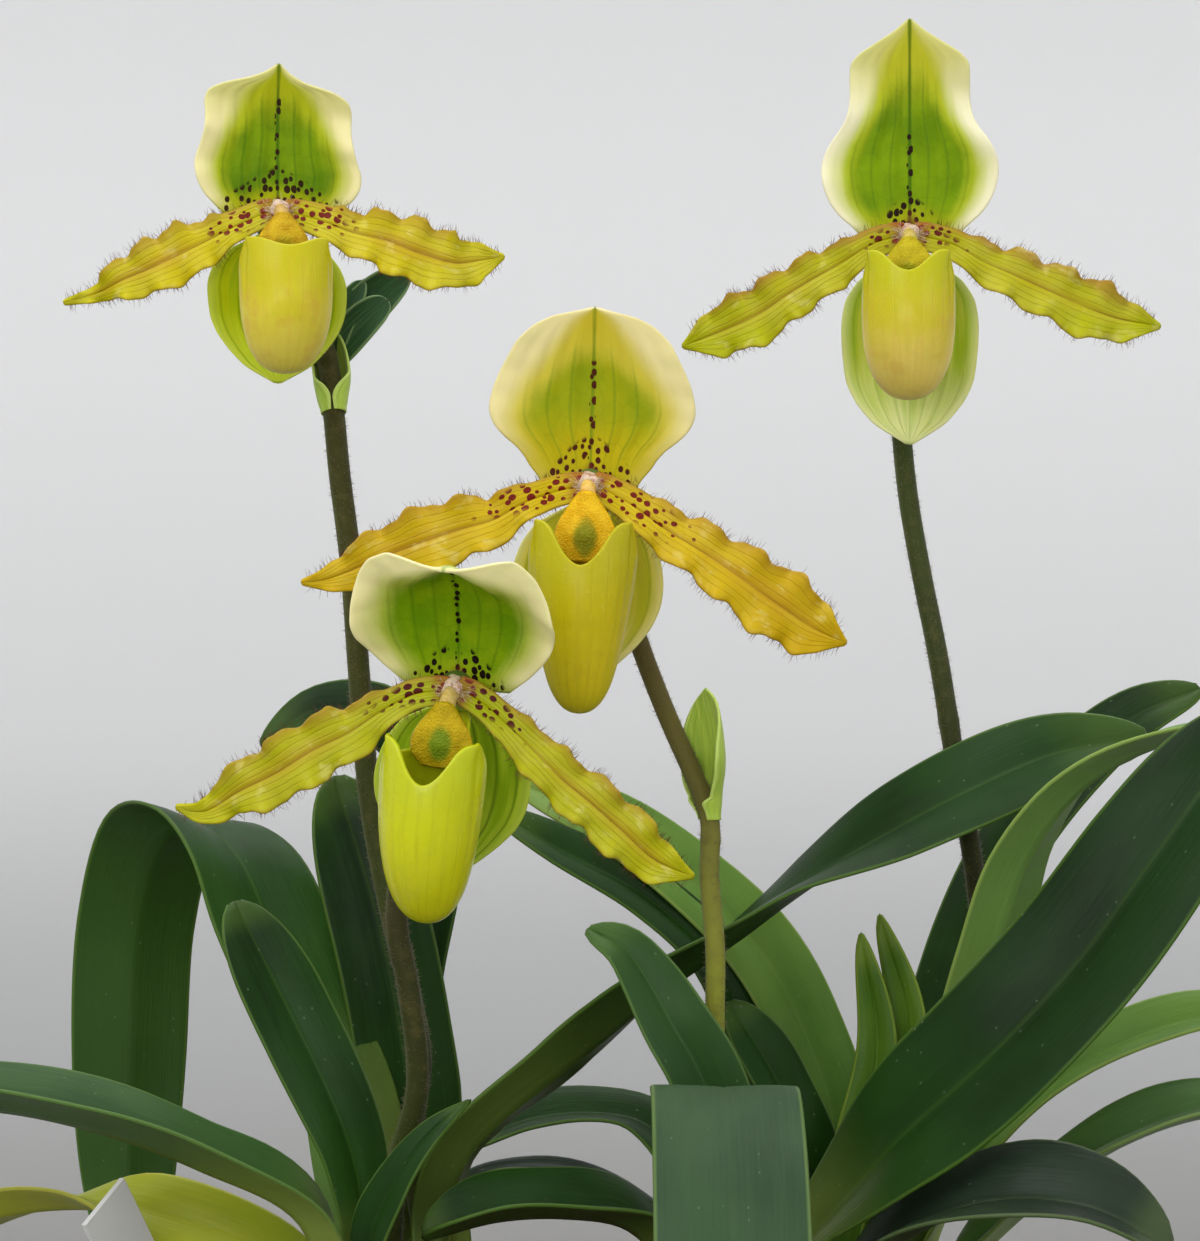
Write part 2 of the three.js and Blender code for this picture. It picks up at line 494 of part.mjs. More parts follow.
// A strap leaf: narrow and folded at the foot, widest past the middle, with a blunt tip.
function leafSurface({ curve, faces, width, fold, ramp = 0.42, tip = 0.72 }) {
  const frameAt = ribbonOf(curve, faces);
  const footHalf = Math.min(LEAF_FOOT.halfWidth, width / 2);
  return (s, t, grow) => {
    const { centre, side, face } = frameAt(s);
    const widening = mix(footHalf, width / 2, ease(0, ramp, s));
    const taper = Math.sqrt(Math.max(1 - Math.max((s - tip) / (1.005 - tip), 0) ** 2.4, 0.004));
    const half = widening * taper + grow;
    const angle = mix(LEAF_FOOT.fold, fold, ease(0, 0.3, s)) * RAD;
    return centre
      .addScaledVector(side, t * half * Math.cos(angle))
      .addScaledVector(face, Math.abs(t) * half * Math.sin(angle));
  };
}

// The midrib starts on the growth's foot and leans out of it before it follows the leaf's own path.
function leafCurve(leaf) {
  const [gx, gy] = GROWTHS[leaf.growth].at;
  const height = 3 + leaf.tier * TIER;
  const out = new THREE.Vector3(Math.cos(leaf.turn * RAD), Math.sin(leaf.turn * RAD), 0);
  const start = new THREE.Vector3(gx, gy, BARK.top + BARK.bump + height);
  start.addScaledVector(out, footRadius(height) + LEAF_THICK);
  const lean = mix(0.62, 0.32, leaf.tier / 4);
  const next = start.clone().addScaledVector(out, 9 * lean).add(new THREE.Vector3(0, 0, 9));
  return new THREE.CatmullRomCurve3([start, next, ...leaf.path.map(vec)], false, "centripetal");
}

function leafGeometry(surface, steps, grow = 0) {
  return bladeOf(surface, { along: steps, across: 2, thick: LEAF_THICK, grow });
}

function makeLeaves(footSolids) {
  const group = new THREE.Group();
  const cleared = Object.fromEntries(Object.keys(GROWTHS).map((name) => [name, [footSolids[name]]]));
  const innerFirst = [...LEAVES].sort((a, b) => b.tier - a.tier);
  for (const leaf of innerFirst) {
    const curve = leafCurve(leaf);
    const surface = leafSurface({ ...leaf, curve, faces: leaf.face });
    const steps = Math.round(Math.min(Math.max(curve.getLength() / 10, 8), 18));
    let solid = solidOf(leafGeometry(surface, steps));
    for (const inner of cleared[leaf.growth]) solid = solid.subtract(inner);
    cleared[leaf.growth].push(solidOf(leafGeometry(surface, steps, GAP)));
    group.add(meshOf(leaf.name, largestOf(solid), leaf.colour, 0.42));
  }
  return group;
}

function makeShoot() {
  const blades = SHOOT.blades.map(({ path }) => {
    const curve = curveOf([SHOOT.foot, ...path]);
    const faces = [[-0.3, -1, 0.1], [-0.2, -1, 0.2]];
    return solidOf(leafGeometry(leafSurface({ curve, faces, width: SHOOT.width, fold: SHOOT.fold }), 8));
  });
  return meshOf("young_shoot", largestOf(blades[0].add(blades[1])), "paleLeaf", 0.45);
}

// ---------------------------------------------------------------- growth feet and flower stalks

function footCurve(name) {
  const [x, y] = GROWTHS[name].at;
  return curveOf([[x, y, BARK.top - FOOT.sunk], [x, y, BARK.top], [x, y, BARK.top + FOOT.height]]);
}

function footGeometry(name, grow = 0) {
  const whole = FOOT.sunk + FOOT.height;
  const radius = (s) => footRadius(s * whole - FOOT.sunk) + grow;
  return rodOf(footCurve(name), radius, { along: 3, sides: FOOT.sides });
}

const bloomMatrix = (bloom) => {
  const turn = new THREE.Euler(bloom.nod * RAD, bloom.roll * RAD, bloom.yaw * RAD, "ZXY");
  return new THREE.Matrix4().makeRotationFromEuler(turn).setPosition(vec(bloom.at));
};

// A stalk grows out of its growth's foot; the two are one piece.
function stalkSolid(stalk) {
  const [x, y] = GROWTHS[stalk.growth].at;
  const bloom = BLOOMS[stalk.bloom];
  const place = bloomMatrix(bloom);
  const hubFront = new THREE.Vector3().applyMatrix4(place);
  const hubBack = new THREE.Vector3(0, HUB.length, -0.5).applyMatrix4(place);
  const ovaryBack = new THREE.Vector3(0, HUB.length + 7, -6).applyMatrix4(place);
  const top = BARK.top + FOOT.height;
  const points = [[x, y, top - 8], [x, y, top], ...stalk.path].map(vec);
  points.push(ovaryBack, hubBack, hubFront);
  const curve = new THREE.CatmullRomCurve3(points, false, "centripetal");
  const radius = (s) => {
    const ovary = mix(stalk.radius, HUB.ovary, ease(0.86, 0.92, s));
    return mix(ovary, HUB.radius, ease(0.955, 0.985, s));
  };
  return (grow) => {
    const rod = rodOf(curve, (s) => radius(s) + grow, { along: 26, sides: 6 });
    return solidOf(rod).add(solidOf(footGeometry(stalk.growth, grow)));
  };
}

function bractGeometry(bract, grow = 0) {
  const frameAt = ribbonOf(curveOf(bract.path), bract.face);
  const bend = bract.width / 2 / (bract.wrap * RAD);
  const surface = (s, t, grow) => {
    const { centre, side, face } = frameAt(s);
    const swell = Math.sin(Math.PI * mix(bract.foot, 1, s)) ** 0.7;
    const half = (bract.width / 2) * Math.max(swell, 0.06) + grow;
    const turn = (t * half) / bend;
    return centre
      .addScaledVector(side, bend * Math.sin(turn))
      .addScaledVector(face, bend * (1 - Math.cos(turn)));
  };
  return bladeOf(surface, { along: 6, across: 4, thick: bract.thick, grow });
}

function makeStalks() {
  const group = new THREE.Group();
  const cleared = [];
  for (const stalk of STALKS) {
    const solid = stalkSolid(stalk);
    cleared.push(solid(GAP));
    group.add(meshOf(stalk.name, largestOf(solid(0)), "stalk", 0.7));
  }
  for (const bract of BRACTS) {
    let solid = solidOf(bractGeometry(bract));
    for (const inner of cleared) solid = solid.subtract(inner);
    cleared.push(solidOf(bractGeometry(bract, GAP)));
    group.add(meshOf(bract.name, largestOf(solid), bract.colour, 0.5));
  }
  return group;
}

// ---------------------------------------------------------------- blooms

// In a bloom's own axes x is to the right, z up and -y forwards, towards whoever looks at it.
const bloomPoint = (x, forward, z) => new THREE.Vector3(x, -forward, z);

function dorsalSurface({ length, lean, cup, wave, waves, half }) {
  const halfAt = smoothList(half);
  const steps = 40;
  const line = [[-3.4, 0]]; // [forwards, up] from behind the petals' feet
  for (let i = 0; i < steps; i++) {
    const angle = mix(lean[0], lean[1], ((i + 0.5) / steps) ** 1.6) * RAD;
    const [forward, up] = line[i];
    line.push([forward + (Math.sin(angle) * length) / steps, up + (Math.cos(angle) * length) / steps]);
  }
  const curve = curveOf(line.map(([forward, up]) => [0, -forward, up]));
  const middleFoot = (HUB.radius + 0.8) / length; // the foot clasps the hub, so its sides hang lower
  return (s, t) => {
    const share = mix(mix(middleFoot, 0, ease(0.1, 0.5, Math.abs(t))), 1, s);
    const centre = curve.getPointAt(share);
    const face = curve.getTangentAt(share).cross(new THREE.Vector3(1, 0, 0)).normalize();
    if (face.y > 0) face.negate();
    const reach = halfAt(share);
    const edge = Math.abs(t) ** 2.4;
    const lift = cup * reach * edge * Math.sin(Math.PI * Math.min(s * 1.1, 1)) +
      wave * edge * ease(0.1, 0.4, s) * Math.sin(2 * Math.PI * waves * s + t);
    return centre.add(new THREE.Vector3(t * reach, 0, 0)).addScaledVector(face, lift);
  };
}

function petalSurface(rows) {
  const curve = curveOf(rows.map(([x, z, forward]) => [x, -forward, z]));
  const widthAt = smoothList(rows.map((row) => row[3]));
  const outward = Math.sign(rows[0][0]);
  const frameAt = ribbonOf(curve, [[0.1 * outward, -1, 0.25], [0, -1, 0.1], [0, -1, -0.15]]);
  return (s, t) => {
    const { centre, side, face } = frameAt(s);
    const half = widthAt(s) / 2;
    const crisp = Math.abs(t) ** 1.6 * ease(0.06, 0.3, s) * (1 - ease(0.82, 1, s));
    const phase = 2 * Math.PI * PETAL_WAVE.count * s + (t > 0 ? 0 : 1.7);
    const scallop = 1 + PETAL_WAVE.scallop * crisp * Math.sin(phase + 1.2);
    return centre
      .addScaledVector(side, outward * t * half * scallop)
      .addScaledVector(face, PETAL_WAVE.height * crisp * Math.sin(phase) + PETAL_WAVE.cup * half * t * t);
  };
}

function synsepalSurface({ length, half }) {
  const halfAt = smoothList(half);
  return (s, t) => {
    const reach = halfAt(s);
    const forward = -5.6 - 1.6 * Math.sin(Math.PI * s) + 3 * s * s + 0.22 * reach * t * t * ease(0.1, 0.5, s);
    return bloomPoint(t * reach, forward, -3.9 - length * s);
  };
}

// The lip. Rings run round a slipper: turn 0 is the front, and 180 the back, where a strap climbs to the hub.
function lipGeometry({ top, notch, bottom, half, low, depth, forward }) {
  const rings = 7;
  const sides = 16;
  const strapTop = -HUB.radius - 0.5;
  const rimAt = (turn) => {
    const side = Math.abs(turn) / Math.PI;
    const horns = mix(notch, top, ease(0, 0.3, side));
    const shoulder = mix(horns, top - 4.6, ease(0.38, 0.62, side));
    return mix(shoulder, strapTop, ease(0.76, 0.88, side));
  };
  const pointAt = (turn, share, inset) => {
    const z = mix(rimAt(turn), bottom + inset, share);
    const drop = Math.min(Math.max((top - z) / (top - bottom), 0), 1);
    const close = (1 - Math.min(drop, 0.999) ** 3.4) ** (1 / 2.3);
    const swell = 1 + 0.1 * ease(0, 0.2, drop);
    const reach = Math.max(mix(half, low, ease(0.1, 0.8, drop)) * close * swell - inset, 0.02);
    const deep = Math.max(depth * close * (1 + 0.12 * Math.sin(Math.PI * drop)) - inset, 0.02);
    const back = Math.abs(turn) > Math.PI / 2 ? 1 : 0;
    const strap = back * ease(top - 1, strapTop, z);
    const centre = forward + 1.8 * Math.sin(Math.PI * drop);
    const x = reach * Math.sin(turn);
    const ahead = centre + deep * Math.cos(turn);
    return bloomPoint(x, mix(ahead, 0.2 + inset, strap * 0.9), z);
  };
  const points = [];
  for (const inset of [0, LIP_THICK])
    for (let i = 0; i < rings; i++)
      for (let j = 0; j < sides; j++)
        points.push(pointAt((j / sides) * 2 * Math.PI - Math.PI, 1 - (1 - i / rings) ** 1.7, inset));
  const poles = points.length;
  points.push(pointAt(0, 1, 0), pointAt(0, 1, LIP_THICK));
  const triangles = [];
  const inner = rings * sides;
  for (let j = 0; j < sides; j++) {
    const k = (j + 1) % sides;
    for (let i = 0; i < rings - 1; i++) {
      const [a, b, c, d] = [i * sides + j, i * sides + k, (i + 1) * sides + k, (i + 1) * sides + j];
      triangles.push(a, c, b, a, d, c);
      triangles.push(a + inner, b + inner, c + inner, a + inner, c + inner, d + inner);
    }
    const last = (rings - 1) * sides;
    triangles.push(last + j, poles, last + k, last + inner + k, poles + 1, last + inner + j);
    triangles.push(j, k, k + inner, j, k + inner, j + inner);
  }
  return geometryOf(points, triangles);
}

// The column leaves the hub's front and carries the shield over the pouch's mouth.
function columnGeometry({ width, height }) {
  const line = curveOf([[0, -0.6, 0], [0, -3.4, -0.3], [0, -6.4, -3]]);
  const rod = rodOf(line, () => COLUMN.radius, { along: 3, sides: 7 });
  const halfAt = smoothList([0.24, 0.62, 0.9, 1, 0.98, 0.86, 0.5].map((k) => (k * width) / 2));
  const surface = (s, t) => {
    const dome = 1.5 * (1 - t * t) * Math.sin(Math.PI * Math.min(0.15 + 0.8 * s, 1));
    return bloomPoint(t * halfAt(s), COLUMN.forward + 1.6 * s + dome, -COLUMN.drop - height * s);
  };
  const shield = bladeOf(surface, { along: 5, across: 4, thick: SHIELD_THICK });
  return largestOf(solidOf(rod).add(solidOf(shield)));
}

function makeBloom(bloom) {
  const turned = new THREE.Group();
  turned.applyMatrix4(bloomMatrix(bloom));
  const thick = PETAL_THICK;
  const dorsal = bladeOf(dorsalSurface(bloom.dorsal), { along: 10, across: 6, thick });
  const synsepal = bladeOf(synsepalSurface(bloom.synsepal), { along: 8, across: 4, thick });
  turned.add(
    meshOf(`${bloom.name}_dorsal_sepal`, dorsal, "dorsal", 0.55),
    meshOf(`${bloom.name}_synsepal`, synsepal, "synsepal", 0.55),
    meshOf(`${bloom.name}_lip`, lipGeometry(bloom.lip), "lip", 0.35),
    meshOf(`${bloom.name}_column`, columnGeometry(bloom.shield), "shield", 0.5),
  );
  const upright = new THREE.Group();
  upright.position.copy(vec(bloom.at));
  for (const rows of bloom.petals) {
    const sideName = rows[0][0] > 0 ? "right" : "left";
    const geometry = bladeOf(petalSurface(rows), { along: 24, across: 4, thick });
    upright.add(meshOf(`${bloom.name}_petal_${sideName}`, geometry, "petal", 0.45));
  }
  return [turned, upright];
}

// ---------------------------------------------------------------- pot, bark and label

function potInnerRadius(z) {
  return mix(POT.foot - POT.wall, POT.rim - POT.wall - POT.step, (z - POT.floor) / (POT.height - POT.floor));
}

function makePot() {
  const bandLow = POT.height - POT.band;
  const bodyTop = mix(POT.foot, POT.rim - POT.step, bandLow / POT.height);
  const outline = [
    [0, 0], [POT.foot - 2, 0], [POT.foot, 2], [bodyTop, bandLow], [POT.rim - 1.5, bandLow + 0.8],
    [POT.rim, POT.height - 1.5], [POT.rim - 1, POT.height], [POT.rim - 4.2, POT.height],
    [potInnerRadius(POT.height - 2), POT.height - 2], [potInnerRadius(POT.floor), POT.floor], [0, POT.floor],
  ];
  const wall = new THREE.LatheGeometry(outline.map(([r, z]) => new THREE.Vector2(r, z)), POT.sides);
  wall.rotateX(Math.PI / 2);
  let solid = solidOf(wall);
  for (let i = 0; i < DRAIN.count; i++) {
    const hole = new THREE.CylinderGeometry(DRAIN.radius, DRAIN.radius, 4 * POT.floor, 8);
    hole.rotateX(Math.PI / 2);
    const angle = (2 * Math.PI * i) / DRAIN.count;
    hole.translate(DRAIN.ring * Math.cos(angle), DRAIN.ring * Math.sin(angle), 0);
    solid = solid.subtract(solidOf(hole));
  }
  return meshOf("pot", largestOf(solid), "pot", 0.5);
}

// Bark chips show as lumps raised from the surface.
function barkHeight(x, y) {
  const lumps = Math.sin(x * 0.55 + 1.3 * Math.sin(y * 0.31)) * Math.cos(y * 0.49 + 1.7 * Math.sin(x * 0.23));
  return BARK.top + BARK.lump * lumps;
}

function makeBark(labelSolid) {
  const low = POT.floor + GAP;
  const points = [];
  const radiusTop = potInnerRadius(BARK.top) - BARK.clear;
  const radiusLow = potInnerRadius(low) - BARK.clear;
  for (let i = 1; i <= BARK.rings; i++)
    for (let j = 0; j < BARK.sides; j++) {
      const angle = (2 * Math.PI * j) / BARK.sides;
      const [x, y] = [Math.cos(angle), Math.sin(angle)].map((k) => (k * radiusTop * i) / BARK.rings);
      points.push(new THREE.Vector3(x, y, i === BARK.rings ? BARK.top - BARK.edgeDrop : barkHeight(x, y)));
    }
  for (let j = 0; j < BARK.sides; j++) {
    const angle = (2 * Math.PI * j) / BARK.sides;
    points.push(new THREE.Vector3(radiusLow * Math.cos(angle), radiusLow * Math.sin(angle), low));
  }
  const [topPole, lowPole] = [points.length, points.length + 1];
  points.push(new THREE.Vector3(0, 0, barkHeight(0, 0)), new THREE.Vector3(0, 0, low));
  const triangles = [];
  const last = BARK.rings * BARK.sides;
  for (let j = 0; j < BARK.sides; j++) {
    const k = (j + 1) % BARK.sides;
    triangles.push(topPole, j, k, lowPole, last + k, last + j);
    for (let i = 0; i < BARK.rings; i++) {
      const [a, b] = [i * BARK.sides, (i + 1) * BARK.sides];
      triangles.push(a + j, b + j, b + k, a + j, b + k, a + k);
    }
  }
  let solid = solidOf(geometryOf(points, triangles));
  const standing = Object.values(GROWTHS).map(({ at }) => [...at, FOOT.hole, FOOT.sunk + GAP]);
  standing.push([SHOOT.foot[0], SHOOT.foot[1], SHOOT.hole, BARK.top - SHOOT.foot[2] + GAP]);
  for (const [x, y, radius, deep] of standing) {
    const hole = new THREE.CylinderGeometry(radius, radius, 60, 16);
    hole.rotateX(Math.PI / 2);
    hole.translate(x, y, BARK.top - deep + 30);
    solid = solid.subtract(solidOf(hole));
  }
  return meshOf("bark", largestOf(solid.subtract(labelSolid)), "bark", 0.95);
}

// A plain plant label: a strip with a pointed lower end, pushed into the bark at a slant.
function labelGeometry(grow = 0) {
  const [half, tall] = [LABEL.width / 2 + grow, LABEL.height + grow];
  const point = LABEL.point - tall;
  const outline = [[-half, 0], [-half, point], [0, -tall], [half, point], [half, 0]];
  const shape = new THREE.Shape(outline.map(([x, y]) => new THREE.Vector2(x, y)));
  const strip = new THREE.ExtrudeGeometry(shape, { depth: LABEL.thick + 2 * grow, bevelEnabled: false });
  strip.translate(0, 0, -LABEL.thick / 2 - grow);
  const side = vec(LABEL.side).normalize();
  const face = side.clone().cross(vec(LABEL.up)).normalize();
  const up = face.clone().cross(side);
  const corner = vec(LABEL.corner).addScaledVector(side, -LABEL.width / 2);
  strip.applyMatrix4(new THREE.Matrix4().makeBasis(side, up, face).setPosition(corner));
  return strip;
}

// ---------------------------------------------------------------- the whole plant

const plant = new THREE.Group();
const footSolids = Object.fromEntries(
  Object.keys(GROWTHS).map((name) => [name, solidOf(footGeometry(name, GAP))]),
);
plant.add(makePot(), makeBark(solidOf(labelGeometry(GAP))), meshOf("label", labelGeometry(), "label", 0.4));
plant.add(makeLeaves(footSolids), makeShoot());
plant.add(makeStalks());
for (const bloom of BLOOMS) plant.add(...makeBloom(bloom));

export default plant;
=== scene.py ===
"""Looks of a potted slipper orchid (Paphiopedilum): fine leaves, blooms, stalks, hairs, bark, pot and label.

The design points below are in millimetres, +Z up, with the origin at the centre of the pot's flat
underside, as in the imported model. Blooms look along -Y. Each fine piece keeps the form of the node that it
replaces, but for details of a few millimetres: the dorsal sepals' outlines, the petals' tips, the width of
two leaves at the left, the pointed shoots and short leaves, the flat hanging leaf, the dark bract's lobes
and the sheaths' feet.
"""
import math

import bpy
import numpy as np
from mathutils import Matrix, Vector


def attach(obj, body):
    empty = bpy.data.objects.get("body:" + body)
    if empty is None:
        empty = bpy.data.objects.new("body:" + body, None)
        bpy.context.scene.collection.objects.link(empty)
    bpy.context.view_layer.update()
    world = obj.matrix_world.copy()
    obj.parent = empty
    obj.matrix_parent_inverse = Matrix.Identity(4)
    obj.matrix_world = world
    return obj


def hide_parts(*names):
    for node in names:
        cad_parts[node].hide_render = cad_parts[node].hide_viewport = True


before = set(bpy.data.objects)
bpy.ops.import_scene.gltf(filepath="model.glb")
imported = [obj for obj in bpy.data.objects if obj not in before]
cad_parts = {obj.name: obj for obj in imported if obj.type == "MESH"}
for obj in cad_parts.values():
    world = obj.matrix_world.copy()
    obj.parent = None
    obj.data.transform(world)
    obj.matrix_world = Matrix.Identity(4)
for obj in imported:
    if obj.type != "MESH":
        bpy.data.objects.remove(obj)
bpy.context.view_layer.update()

MM = 0.001

# ---------------------------------------------------------------- design points

LEAF_THICK = 1.2
PETAL_THICK = 0.8
LIP_THICK = 0.9
SHIELD_THICK = 1.3
BRACT_THICK = 0.8
PETAL_TIP = 0.9  # the width of a petal's last row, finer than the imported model's
TIER = 3.3  # height from one leaf's foot to the next one's
LEAF_FOOT = dict(half_width=5, fold=42)
FOOT = dict(radius=6, neck=2.6, height=26, sunk=14)
HUB = dict(radius=3, length=7, ovary=2.5)  # where the parts of a bloom join the stalk
COLUMN = dict(radius=1.7, forward=5.8, drop=1.6)
PETAL_WAVE = dict(count=5.5, height=1.1, scallop=0.11, cup=0.12)
POT = dict(height=105, rim=88, foot=62, wall=2.4, floor=3, band=13, step=3.4)
DRAIN = dict(count=5, radius=4, ring=36, reach=[-6, 9])
BARK = dict(top=95, bump=2.2, lump=1.76)
CHIPS = dict(count=520, clear=10.5)  # clear is how far chips keep from the foot of a growth
HAIR = dict(bend=0.35, thick=0.05, fine=0.045, rooted=0.12)

GROWTHS = dict(left=[-38, -12], back=[-34, 24], centre=[22, -1], right=[49, 15])
SHOOT = dict(foot=[41, -1, 92], width=9, fold=20, tip=0.5, point=0.65)
SHOOT_FACES = [[-0.3, -1, 0.1], [-0.2, -1, 0.2]]
SHOOT_PATHS = [
    [[42, 0, 112], [47, 3, 138], [52, 7, 160], [49, 8, 181]],
    [[42, 2, 112], [50, 8, 138], [58, 12, 163], [53, 14, 184]],
]


def leaf(name, kind, turn, tier, width, fold, path, face, **shape):
    """A strap leaf on the growth that its name begins with. face is the way its upper side looks."""
    return dict(name="leaf_" + name, growth=name.split("_")[0], kind=kind, turn=turn, tier=tier,
                path=path, blade=dict(faces=face, width=width, fold=fold, **shape))


